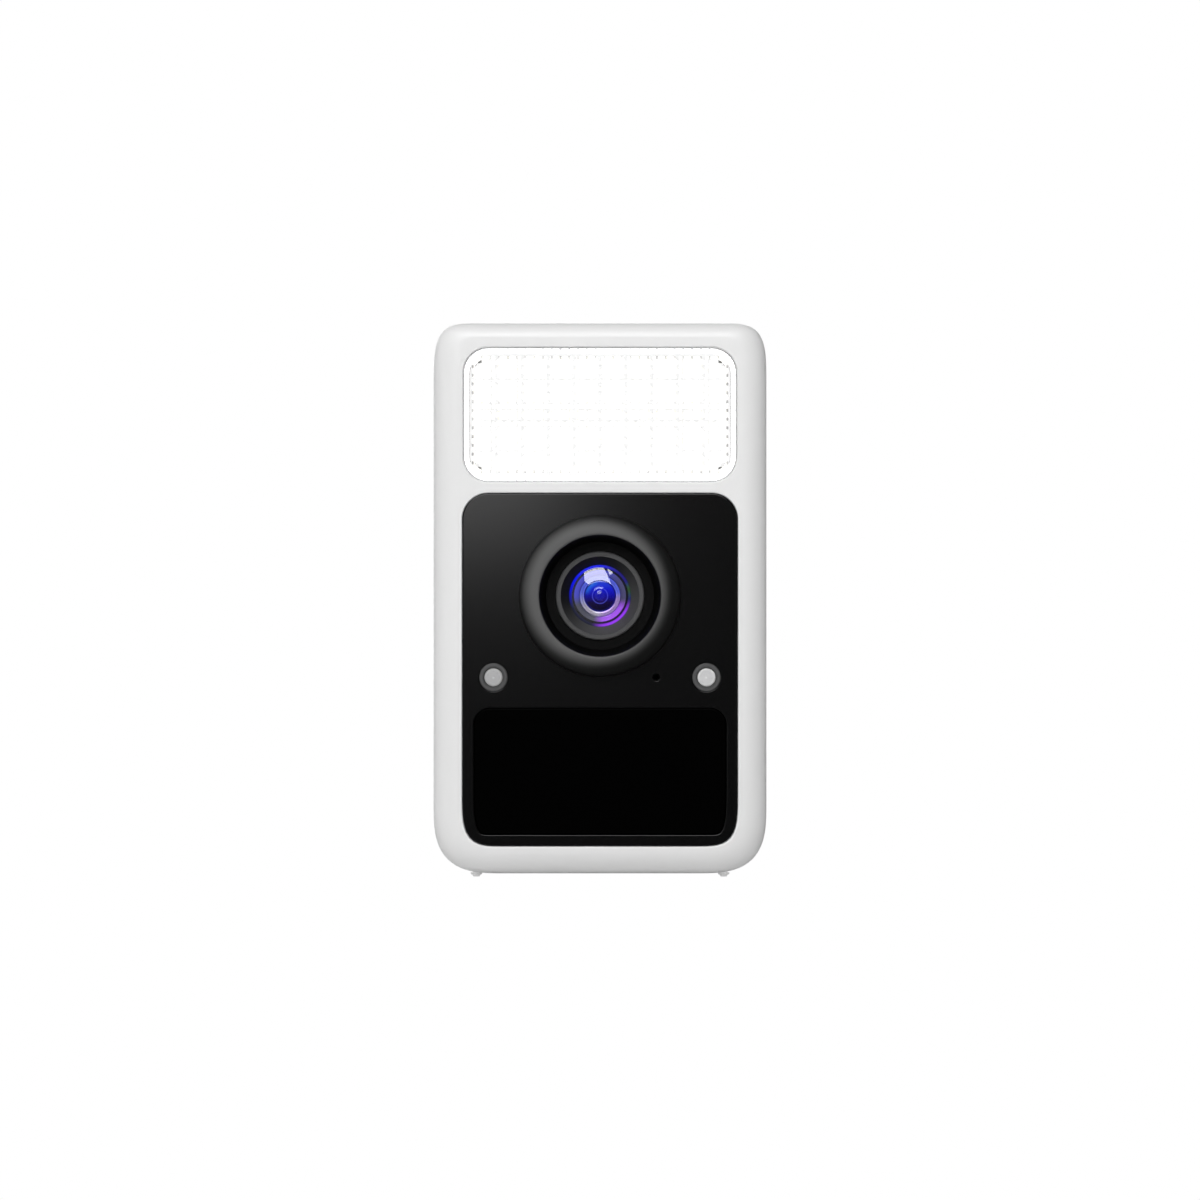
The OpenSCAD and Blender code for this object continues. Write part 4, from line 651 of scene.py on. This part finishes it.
def make_pupil_coat():
    """Deep blue coating of the second lens, with painted reflection and light: lighter blue towards
    the top and dark navy towards the bottom, a painted highlight at the upper left, a painted ring
    of reflection, a painted tint at the centre, painted shade towards the edge, and a painted glow.
    """
    material, tree, shader = new_finish("second_glass_coat_painted_reflection", Coat_Weight=1.0, Coat_IOR=1.7,
                                        Coat_Roughness=0.03, Specular_IOR_Level=0.3)
    radius, right, up = ring_values(tree)
    _, dz, _ = place(tree, 0.0, LENS_Z)
    # Painted light: lighter blue towards the top, dark navy towards the bottom.
    blue = ramp(tree, scaled(tree, dz, -3.2, 3.2, smooth=False),
                [(0.0, (0.002, 0.0, 0.012)), (0.28, (0.006, 0.001, 0.045)),
                 (0.5, (0.005, 0.003, 0.33)), (0.72, (0.006, 0.01, 0.62)),
                 (1.0, (0.02, 0.06, 0.72))])
    # A painted highlight at the upper left.
    upper_left = math(tree, "SUBTRACT", up, right)
    painted_glint = math(tree, "MULTIPLY", scaled(tree, upper_left, 1.0, 1.42),
                 scaled(tree, radius, 2.0, 3.2))
    blue = blend(tree, math(tree, "MULTIPLY", painted_glint, 0.5), blue, (0.03, 0.28, 0.9))
    # A painted ring of reflection.
    painted_halo = math(tree, "MULTIPLY", scaled(tree, radius, 1.48, 1.62),
                scaled(tree, radius, 1.85, 1.68))
    blue = blend(tree, math(tree, "MULTIPLY", painted_halo, 0.55), blue, (0.09, 0.1, 0.8))
    # A painted tint at the centre.
    painted_centre = scaled(tree, radius, 1.35, 0.6)
    blue = blend(tree, math(tree, "MULTIPLY", painted_centre, 0.6), blue, (0.012, 0.012, 0.4))
    # Painted shade towards the edge.
    blue = blend(tree, scaled(tree, radius, 2.95, 3.42), blue, (0.003, 0.003, 0.16))
    tree.links.new(blend(tree, 0.85, blue, (0, 0, 0.003)), shader.inputs["Base Color"])
    # A painted glow.
    glow(tree, shader, blue, 1.0)
    tree.links.new(scaled(tree, radius, 0.0, 3.5, 0.05, 0.08), shader.inputs["Roughness"])
    return material


def window_radius(tree):
    """Distance from the nearer of the two windows' middles."""
    return math(tree, "MINIMUM", *[hypotenuse(tree, *place(tree, x, WINDOW_Z)[:2])
                                   for x in (-WINDOW_X, WINDOW_X)])


def make_window():
    """Milky window with a lighter rim towards its edge; the right window is painted lighter than
    the left, as painted light.
    """
    material, tree, shader = new_finish("window_milky_painted_light", Coat_Weight=0.6, Coat_Roughness=0.08)
    radius = window_radius(tree)
    _, _, split = place(tree)
    # The right window is painted lighter than the left, as painted light.
    side = scaled(tree, split.outputs["X"], -0.01, 0.01)
    body = blend(tree, side, (0.42, 0.42, 0.425), (0.58, 0.58, 0.585))
    rim = blend(tree, side, (0.47, 0.47, 0.47), (0.72, 0.72, 0.72))
    fine = node(tree, "TexNoise", {"Vector": node(tree, "TexCoord").outputs["Object"],
                                   "Scale": 1500.0}).outputs[0]
    tree.links.new(blend(tree, scaled(tree, radius, 1.35, 1.75), body, rim),
                   shader.inputs["Base Color"])
    tree.links.new(scaled(tree, fine, 0.2, 0.8, 0.25, 0.35), shader.inputs["Roughness"])
    return material


def make_collar():
    material, tree, shader = new_finish("collar_smoky", Coat_Weight=0.3, Coat_Roughness=0.1)
    radius = window_radius(tree)
    tree.links.new(ramp(tree, scaled(tree, radius, 1.9, 3.1, smooth=False),
                        [(0.0, (0.01, 0.01, 0.01)), (0.2, (0.05, 0.05, 0.05)),
                         (0.6, (0.085, 0.085, 0.087)), (0.88, (0.07, 0.07, 0.07)),
                         (1.0, (0.01, 0.01, 0.01))]), shader.inputs["Base Color"])
    tree.links.new(scaled(tree, radius, 1.9, 3.1, 0.3, 0.4), shader.inputs["Roughness"])
    return material


board_green = make_board()
light_lens_painted_shade = make_light_lens()
bezel_satin_painted_shade = make_bezel()
barrel_anodised_painted_shade = make_anodised("barrel_anodised_painted_shade", (0.077, 0.077, 0.079),
                                (0.065, 0.065, 0.067), 0.42)
retainer_anodised_painted_shade = make_anodised("retainer_anodised_painted_shade", (0.05, 0.05, 0.051),
                                  (0.042, 0.042, 0.043), 0.5, painted_shade_level=0.12)
front_glass_coat = make_front_coat("front_glass_coat", 1.0)
front_glass_back = make_front_coat("front_glass_back", 0.0)
front_glass_rim_painted_reflection = make_rim_coat()
spacer_coat_painted_reflection = make_inner_coat()
iris_silver_painted_reflection = make_silver_coat()
second_coat_painted_reflection = make_pupil_coat()
window_milky_painted_light = make_window()
collar_smoky = make_collar()

CARRIED = {
    "shell_seal": seal_rubber, "screws": steel, "screw_plugs": plug_rubber,
    "feet": foot_rubber_painted_glow, "light_lens": light_lens_painted_shade, "light_seal": light_seal_white_painted_glow,
    "light_reflector": reflector_white_painted_glow, "light_board": light_board_white_painted_glow,
    "light_leds": led_phosphor, "light_heatsink": heatsink_metal, "panel_seal": seal_rubber,
    "lens_surround": surround_black, "lens_oring": seal_rubber, "lens_barrel": barrel_anodised_painted_shade,
    "lens_retainer": retainer_anodised_painted_shade, "rear_element": coated_filter, "lens_mount": inner_black,
    "filter_slider": inner_black, "day_filter": coated_filter, "night_filter": clear_filter,
    "filter_arm": inner_black, "filter_drive": copper, "image_sensor": chip_package,
    "sensor_board": board_green, "ir_collars": collar_smoky, "ir_windows": window_milky_painted_light,
    "ir_leds": nickel, "front_board": board_green, "microphone": seal_rubber,
    "mic_boot": seal_rubber, "pir_holder": inner_black, "pir_sensor": nickel,
    "chassis": chassis_black, "main_board": board_green, "shield_can": nickel,
    "antenna": gold_film, "speaker": speaker_black, "battery_cells": cell_wrap,
    "battery_board": board_green, "battery_bracket": chassis_black, "usb_port": steel,
    "card_socket": steel, "button_switches": nickel, "door_pin": steel, "port_board": board_green,
    "cables": red_wire, "door_seal": seal_rubber,
    "memory_card": card_plastic, "reset_button": button_grey, "power_button": button_grey,
}
for name, material in CARRIED.items():
    for index in range(len(nodes[name].material_slots)):
        nodes[name].material_slots[index].material = material


# ---------- casing ----------

ROUND_SIDE, ROUND_LOW, ROUND_HIGH, ROUND_DEPTH = 5.75, 5.05, 3.3, 5.0
WALL, FRONT_WALL, SPLIT, SPLIT_GAP = 2.4, 4.4, 14.0, 0.5
LEDGE, LEDGE_W, EDGE_R = 2.6, 1.2, 0.3


def opening(bm, shape, back):
    """A window's rounded edge, wall and ledge: gives its front and back rings."""
    rings = [ring(bm, outline(shape, -0.12 - EDGE_R * (1 - sin(a))), EDGE_R * (1 - cos(a)))
             for a in (0, pi / 8, pi / 4, 3 * pi / 8, pi / 2)]
    rings.append(ring(bm, outline(shape, -0.12), LEDGE))
    rings.append(ring(bm, outline(shape, LEDGE_W), LEDGE))
    rings.append(ring(bm, outline(shape, LEDGE_W), back))
    skin(bm, rings)
    return rings[0], rings[-1]


def make_front_casing():
    bm = bmesh.new()
    turns = [pi / 2 * i / 12 for i in range(13)]
    rings = [ring(bm, outline(BODY, [r * (1 - sin(a)) for r in (ROUND_SIDE, ROUND_LOW, ROUND_HIGH)],
                              24), ROUND_DEPTH * (1 - cos(a))) for a in turns]
    rings.append(ring(bm, outline(BODY, 0, 24), SPLIT - 0.3))
    rings.append(ring(bm, outline(BODY, 0.08, 24), SPLIT - 0.08))
    rings.append(ring(bm, outline(BODY, 0.3, 24), SPLIT))
    rings.append(ring(bm, outline(BODY, WALL, 24), SPLIT))
    rings.append(ring(bm, outline(BODY, WALL + 0.6, 24), FRONT_WALL))
    skin(bm, rings)
    light_front, light_back = opening(bm, LIGHT, FRONT_WALL)
    panel_front, panel_back = opening(bm, PANEL, FRONT_WALL)
    fill(bm, rings[0], light_front, panel_front)
    fill(bm, rings[-1], light_back, panel_back)
    return finish_mesh(bm, "front_casing")


BOSS_X, BOSS_HALF, BOSS_ZS = 30.6, 3.6, (22.0, 104.0)
PAST_BACK = 59.0
DOOR_T, DOOR_Z, DOOR_R, DOOR_TOP, DOOR_HALF = 56.7, 10.2, 1.1, 22.6, 19.8
USB_X, USB_Z = -12.5, 14.85
RESET_X, POWER_X, BUTTON_Z = 11.2, 16.2, 16.0
BAY_FLOOR_CUT = (46.0, 50.0)


def make_rear_casing():
    bm = bmesh.new()
    flat = BODY_DEPTH - 5.0
    start = SPLIT + SPLIT_GAP
    rings = [ring(bm, outline(BODY, WALL, 20), start), ring(bm, outline(BODY, 0.3, 20), start),
             ring(bm, outline(BODY, 0.08, 20), start + 0.08),
             ring(bm, outline(BODY, 0, 20), start + 0.3)]
    turns = [pi / 2 * i / 10 for i in range(11)]
    rings += [ring(bm, outline(BODY, 5 * (1 - cos(a)), 20), flat + 5 * sin(a)) for a in turns]
    outer_back = rings[-1]
    inner = [ring(bm, outline(BODY, WALL + 2.6 * (1 - cos(a)), 20), flat + 2.6 * sin(a))
             for a in turns[::2]]
    skin(bm, rings)
    skin(bm, [rings[0]] + inner)
    fill(bm, outer_back)
    fill(bm, inner[-1])
    shell = finish_mesh(bm, "rear_casing")
    bm = bmesh.new()
    block(bm, -22.0, 22.0, 47.4, 56.2, 7.4, 24.3)
    rod(bm, 0, INSERT_Z, 47.6, 56.4, 6.0)
    for side in (-1, 1):
        for z in BOSS_ZS:
            x0, x1 = sorted((side * BOSS_X - side * BOSS_HALF, side * BOSS_X + side * 3.9))
            block(bm, x0, x1, 30.0, 56.2, z - BOSS_HALF, z + BOSS_HALF)
    shell = combine(shell, finish_mesh(bm, "bosses"), "UNION")
    bm = bmesh.new()
    for side in (-1, 1):
        for z in BOSS_ZS:
            turn(bm, [(0, 30.2), (1.4, 30.2), (1.4, 34.0), (2.6, 34.0), (2.6, 57.55), (3.0, 57.95),
                      (3.05, PAST_BACK), (0, PAST_BACK)], side * BOSS_X, z, 48)
    turn(bm, [(0, 48.6), (4.0, 48.6), (4.0, 57.55), (4.4, 57.95), (4.45, PAST_BACK),
              (0, PAST_BACK)], 0, INSERT_Z, 64)
    shell = combine(shell, finish_mesh(bm, "round_holes"), "DIFFERENCE")
    for parts in (
            [("block", (-20.0, 20.0, 55.4, PAST_BACK, 8.7, 22.8))],
            [("block", (-19.0, 19.0, 49.4, PAST_BACK, 10.0, 21.8))],
            [("rod", (0, 22.8, 56.3, PAST_BACK, 4.0))],
            [("slot", (USB_X, USB_Z, 2.85, 1.8)),
             ("block", (-3.2, 8.0, *BAY_FLOOR_CUT, 13.9, 14.9)),
             ("rod", (RESET_X, BUTTON_Z, *BAY_FLOOR_CUT, 1.3)),
             ("rod", (POWER_X, BUTTON_Z, *BAY_FLOOR_CUT, 2.1))],
    ):
        bm = bmesh.new()
        for kind, values in parts:
            if kind == "block":
                block(bm, *values)
            elif kind == "rod":
                rod(bm, *values)
            else:
                prism(bm, slot(*values), *BAY_FLOOR_CUT)
        shell = combine(shell, finish_mesh(bm, "cutter"), "DIFFERENCE")
    bm = bmesh.new()
    for i in range(-2, 3):
        for side in (-1, 1):
            x, t = 2.6 * i, 34.0 + side * 3.4
            block(bm, x - 0.6, x + 0.6, t - 2.8, t + 2.8, 0.0, 4.4, 0.0)
            upright = [e for e in bm.edges if abs(e.verts[0].co.z - e.verts[1].co.z) > 3 * MM
                       and abs(e.verts[0].co.x - x * MM) < 0.7 * MM
                       and abs(e.verts[0].co.y - deep(t)) < 2.9 * MM]
            bmesh.ops.bevel(bm, geom=upright, offset=0.59 * MM, affect="EDGES", segments=5,
                            profile=0.5, material=-1)
    shell = combine(shell, finish_mesh(bm, "grille"), "DIFFERENCE")
    return shell


fit(make_front_casing(), "housing", "casing", casing, "front_shell")
fit(make_rear_casing(), "housing", "casing", casing, "rear_shell", "port_bay")


# ---------- front panel and what it carries ----------

def plate_rings(bm, shape, face, back, edge, steps=16):
    turns = [pi / 2 * i / 4 for i in range(5)]
    rings = [ring(bm, outline(shape, edge * (1 - sin(a)), steps), face + edge * (1 - cos(a)))
             for a in turns]
    rings.append(ring(bm, outline(shape, 0.0, steps), back))
    skin(bm, rings)
    return rings[0], rings[-1]


def hole_rings(bm, points_at, face, back, edge):
    turns = [pi / 2 * i / 3 for i in range(4)]
    rings = [ring(bm, points_at(edge * (1 - sin(a))), face + edge * (1 - cos(a)))
             for a in turns]
    rings.append(ring(bm, points_at(0.0), back))
    skin(bm, rings)
    return rings[0], rings[-1]


def make_panel():
    bm = bmesh.new()
    pairs = [plate_rings(bm, PANEL, 0.3, 2.3, 0.22)]
    pairs.append(hole_rings(bm, lambda e: circle(0, LENS_Z, 15.1 + e, 128), 0.3, 2.3, 0.12))
    for side in (-1, 1):
        pairs.append(hole_rings(bm, lambda e: circle(side * WINDOW_X, WINDOW_Z, 3.16 + e, 48),
                                0.3, 2.3, 0.1))
    pairs.append(hole_rings(bm, lambda e: circle(MIC_X, WINDOW_Z, MIC_R + e, 32), 0.3, 2.3, 0.08))
    pairs.append(hole_rings(bm, lambda e: outline(PIR, -0.1 - e), 0.3, 2.3, 0.12))
    fill(bm, *[front for front, _ in pairs])
    fill(bm, *[back for _, back in pairs])
    return finish_mesh(bm, "black_panel", keep_flat=True)


def make_pir_lens():
    """Black cover of the heat sensor, with a pocket pressed in from behind."""
    bm = bmesh.new()
    front, back = plate_rings(bm, PIR, 0.55, 2.3, 0.4)
    fill(bm, front)
    inner = [ring(bm, outline(PIR, 0.8), 2.3), ring(bm, outline(PIR, 0.9), 1.15)]
    skin(bm, [back] + inner)
    fill(bm, inner[-1])
    return finish_mesh(bm, "sensor_cover", keep_flat=True)


def make_bezel_ring():
    bm = bmesh.new()
    arc = [(13.6 + 3.9 * cos(radians(p)), 0.3 - 2.9 * sin(radians(p))) for p in range(0, 91, 5)]
    lip = [(13.6 - 0.45 * sin(radians(p)), -2.15 - 0.45 * cos(radians(p)))
           for p in range(15, 91, 15)]
    turn(bm, [(15.0, 0.3)] + arc + lip + [(13.05, -1.9), (11.65, 2.0), (13.4, 2.0), (13.4, 3.3),
                                          (15.0, 3.3)], 0, LENS_Z, 160)
    return finish_mesh(bm, "lens_bezel_ring", 40)


DOME_R = 14.0
RIM_R = 5.86


def dome(curve, apex, radius, count):
    return [(radius * i / count, apex + curve - sqrt(curve ** 2 - (radius * i / count) ** 2))
            for i in range(count + 1)]


def make_front_glass():
    bm = bmesh.new()
    front = dome(DOME_R, 1.593, 6.66, 26)
    back = dome(7.2, 4.0, 5.5, 14)
    turn(bm, front + [(6.7, 3.4), (7.4, 3.7), (7.48, 3.85), (7.48, 6.5), (7.4, 6.58),
                      (5.6, 6.58)] + back[::-1], 0, LENS_Z, 128)
    piece = finish_mesh(bm, "front_glass", 40)
    for face in piece.data.polygons:
        x, y, z = face.center
        radius = sqrt(x * x + (z - LENS_Z * MM) ** 2) / MM
        face.material_index = 1 if radius > RIM_R else 2 if y > deep(3.8) else 0
    return piece


def make_spacer():
    bm = bmesh.new()
    turn(bm, [(6.9, 6.66), (5.8, 6.66), (4.45, 7.0), (4.45, 7.16), (6.9, 7.16)], 0, LENS_Z, 96)
    return finish_mesh(bm, "coated_spacer")


def make_iris_ring():
    bm = bmesh.new()
    turn(bm, [(4.42, 6.98), (4.3, 6.92), (3.6, 6.96), (3.47, 7.04), (3.47, 7.1), (4.42, 7.1)],
         0, LENS_Z, 96)
    return finish_mesh(bm, "iris_ring")


def make_second_glass():
    bm = bmesh.new()
    front = dome(2.6, 6.42, 1.5, 14) + [(1.56, 6.93), (2.4, 7.0), (3.3, 7.06), (3.45, 7.12)]
    turn(bm, front + [(3.46, 7.22), (4.9, 7.22), (4.95, 7.28), (4.95, 10.25), (4.9, 10.3),
                      (3.5, 10.3), (2.0, 9.7), (0, 9.4)], 0, LENS_Z, 96)
    return finish_mesh(bm, "second_glass", 40)


black_panel = fit(make_panel(), "housing", "panel", panel_black, "front_panel")
fit(make_pir_lens(), "housing", "pir_lens", pir_black, "pir_lens")
fit(make_bezel_ring(), "housing", "bezel", bezel_satin_painted_shade, "lens_bezel")
fit(make_front_glass(), "housing", "coated_glass",
    [front_glass_coat, front_glass_rim_painted_reflection, front_glass_back], "front_element", weighted=False)
fit(make_spacer(), "housing", "lens_black", spacer_coat_painted_reflection)
fit(make_iris_ring(), "housing", "barrel", iris_silver_painted_reflection)
fit(make_second_glass(), "housing", "coated_glass", second_coat_painted_reflection, "second_element",
    weighted=False)


# ---------- service door and threaded insert ----------

def make_door():
    bm = bmesh.new()
    inside, outside = DOOR_T - DOOR_R, DOOR_T + DOOR_R
    side = [(inside, DOOR_TOP - 0.25), (inside, DOOR_Z)]
    side += [(DOOR_T - DOOR_R * cos(pi * i / 12), DOOR_Z - DOOR_R * sin(pi * i / 12))
             for i in range(1, 12)]
    side += [(outside, DOOR_Z), (outside, DOOR_TOP - 0.4), (outside - 0.12, DOOR_TOP - 0.12),
             (outside - 0.4, DOOR_TOP), (inside + 0.25, DOOR_TOP)]
    verts = [bm.verts.new((-DOOR_HALF * MM, deep(t), z * MM)) for t, z in side]
    face = bm.faces.new(verts)
    grown = bmesh.ops.extrude_face_region(bm, geom=[face])["geom"]
    moved = [v for v in grown if isinstance(v, bmesh.types.BMVert)]
    bmesh.ops.translate(bm, verts=moved, vec=(2 * DOOR_HALF * MM, 0, 0))
    ends = [e for e in bm.edges if abs(abs(e.verts[0].co.x) - DOOR_HALF * MM) < 1e-6
            and abs(e.verts[0].co.x - e.verts[1].co.x) < 1e-6]
    bmesh.ops.bevel(bm, geom=ends, offset=0.25 * MM, affect="EDGES", segments=3, profile=0.5,
                    material=-1)
    door = finish_mesh(bm, "service_flap")
    bm = bmesh.new()
    block(bm, -6.0, 6.0, 57.2, 58.6, 20.4, 21.2, 0.2, 3)
    return combine(door, finish_mesh(bm, "groove"), "DIFFERENCE")


def make_thread():
    """Brass insert with a tripod thread turned inside it."""
    bm = bmesh.new()
    pitch, count = 1.27, 6
    inner = [(3.0, 57.8), (2.62, 57.4)]
    for i in range(count):
        t = 57.1 - i * pitch
        inner += [(2.62, t), (3.12, t - 0.5), (3.12, t - 0.62), (2.62, t - 1.1)]
    outer = [(2.62, 48.7), (3.95, 48.7), (3.95, 57.6), (3.8, 57.8)]
    turn(bm, inner + outer, 0, INSERT_Z, 64)
    return finish_mesh(bm, "tripod_insert", 50)


fit(make_door(), "door", "casing", casing, "service_door")
fit(make_thread(), "housing", "brass", brass, "thread_insert")


# ---------- floor, light and camera ----------

def make_floor():
    bm = bmesh.new()
    bmesh.ops.create_grid(bm, x_segments=2, y_segments=2, size=6)
    floor = finish_mesh(bm, "studio_floor")
    material, tree, shader = new_finish("studio_floor_white")
    shader.inputs["Base Color"].default_value = (0.84, 0.84, 0.84, 1)
    shader.inputs["Roughness"].default_value = 0.9
    plain = node(tree, "Emission", {"Color": (1, 1, 1, 1), "Strength": 1.0})
    seen = node(tree, "LightPath")
    both = node(tree, "MixShader", {0: seen.outputs["Is Camera Ray"], 1: shader.outputs[0],
                                    2: plain.outputs[0]})
    below = node(tree, "MixShader", {0: node(tree, "NewGeometry").outputs["Backfacing"],
                                     1: both.outputs[0],
                                     2: node(tree, "BsdfTransparent").outputs[0]})
    tree.links.new(below.outputs[0], tree.nodes["Material Output"].inputs[0])
    floor.data.materials.append(material)
    floor.visible_glossy = False
    floor.visible_transmission = False


def make_world():
    world = bpy.data.worlds.new("studio")
    scene.world = world
    world.use_nodes = True
    tree = world.node_tree
    tree.nodes.clear()
    split = node(tree, "SeparateXYZ", {0: node(tree, "TexCoord").outputs["Generated"]})
    x, y, z = (split.outputs[k] for k in "XYZ")
    side = scaled(tree, x, -1.0, 1.0, 0.56, 0.10, smooth=False)
    top = math(tree, "MULTIPLY", math(tree, "MAXIMUM", z, 0.0), 0.03)
    whole = math(tree, "ADD", side, top)
    ahead = scaled(tree, math(tree, "MULTIPLY", y, -1.0), 0.35, 0.93, 1.0, 0.08)
    light = math(tree, "MULTIPLY", whole, ahead)
    soft = node(tree, "Background", {"Color": (1, 1, 1, 1), "Strength": light})
    white = node(tree, "Background", {"Color": (1, 1, 1, 1), "Strength": 1.0})
    seen = node(tree, "LightPath")
    both = node(tree, "MixShader", {0: seen.outputs["Is Camera Ray"], 1: soft.outputs[0],
                                    2: white.outputs[0]})
    node(tree, "OutputWorld", {0: both.outputs[0]})


def softbox(name, azimuth, elevation, distance, width, height, radiance, roll=0.0):
    """A soft panel light seen from the lens at that azimuth and elevation."""
    data = bpy.data.lights.new(name, "AREA")
    data.shape, data.size, data.size_y = "RECTANGLE", width, height
    data.energy = 4 * width * height * radiance
    lamp = bpy.data.objects.new(name, data)
    scene.collection.objects.link(lamp)
    a, e = radians(azimuth), radians(elevation)
    away = Vector((sin(a) * cos(e), -cos(a) * cos(e), sin(e)))
    lamp.location = Vector((0, FACE_Y, LENS_Z * MM)) + away * distance
    turned = away.to_track_quat("Z", "Y")
    lamp.rotation_euler = turned.to_euler()
    lamp.rotation_euler.rotate_axis("Z", radians(roll))
    lamp.visible_camera = False
    return lamp


def seen_on_dome(x, z):
    """The way a level sight line goes on after it meets the dome at that point."""
    x, z = x / DOME_R, z / DOME_R
    c = sqrt(1 - x * x - z * z)
    return Vector((2 * c * x, 1 - 2 * c * c, 2 * c * z))


def arc_points(r, start, end, count=10):
    angles = [radians(start + (end - start) * i / count) for i in range(count + 1)]
    return [(r * cos(a), r * sin(a)) for a in angles]


def make_reflected_cards(radiance, distance=1.4):
    """Bright cards that only gloss shows, cut to the shape they have on the dome."""
    bm = bmesh.new()
    window = arc_points(6.42, 123, 85) + arc_points(3.44, 44, 135) + [(-3.3, 3.1)]
    corner = [(1.55, 5.95), (2.9, 5.02), (2.13, 4.5)]
    for points in (window, corner):
        verts = [bm.verts.new(Vector((0, deep(2.0), LENS_Z * MM)) + seen_on_dome(x, z) * distance)
                 for x, z in points]
        edges = [bm.edges.new(pair) for pair in zip(verts, verts[1:] + verts[:1])]
        bmesh.ops.triangle_fill(bm, use_beauty=True, use_dissolve=False, edges=edges)
    cards = finish_mesh(bm, "reflected_cards")
    material, tree, shader = new_finish("card_light")
    plain = node(tree, "Emission", {"Color": (1, 1, 1, 1), "Strength": radiance})
    tree.links.new(plain.outputs[0], tree.nodes["Material Output"].inputs[0])
    cards.data.materials.append(material)
    cards.visible_camera = cards.visible_diffuse = cards.visible_transmission = False
    cards.visible_shadow = False


def make_camera():
    data = bpy.data.cameras.new("front_camera")
    data.sensor_width = 36.0
    distance, width = 2.0, 0.259
    data.lens = 36.0 * distance / width
    data.clip_start, data.clip_end = 0.01, 50.0
    camera = bpy.data.objects.new("front_camera", data)
    scene.collection.objects.link(camera)
    camera.location = (0, FACE_Y - distance, 59.94 * MM)
    camera.rotation_euler = (radians(90), 0, 0)
    scene.camera = camera


make_floor()
make_world()
key = softbox("key_softbox", -10, 43, 1.5, 1.0, 1.3, 3.2, roll=8)
key.visible_glossy = False
make_reflected_cards(4.4)
low_fill = softbox("low_fill", 18, 4, 1.5, 1.2, 0.2, 3.1)
low_fill.visible_glossy = low_fill.visible_transmission = False
softbox("back_fill", 188, 9, 1.6, 1.0, 0.6, 2.0)
card = softbox("gradient_card", 0, 0, 1.6, 0.85, 0.8, 1.85)
card.location = (-0.439, -1.62, 0.486)
card.rotation_euler = (radians(90), 0, 0)
card.visible_diffuse = False
card_target = bpy.data.collections.new("gradient_card_target")
card_target.objects.link(black_panel)
card.light_linking.receiver_collection = card_target
make_camera()
scene.view_settings.view_transform = "Standard"
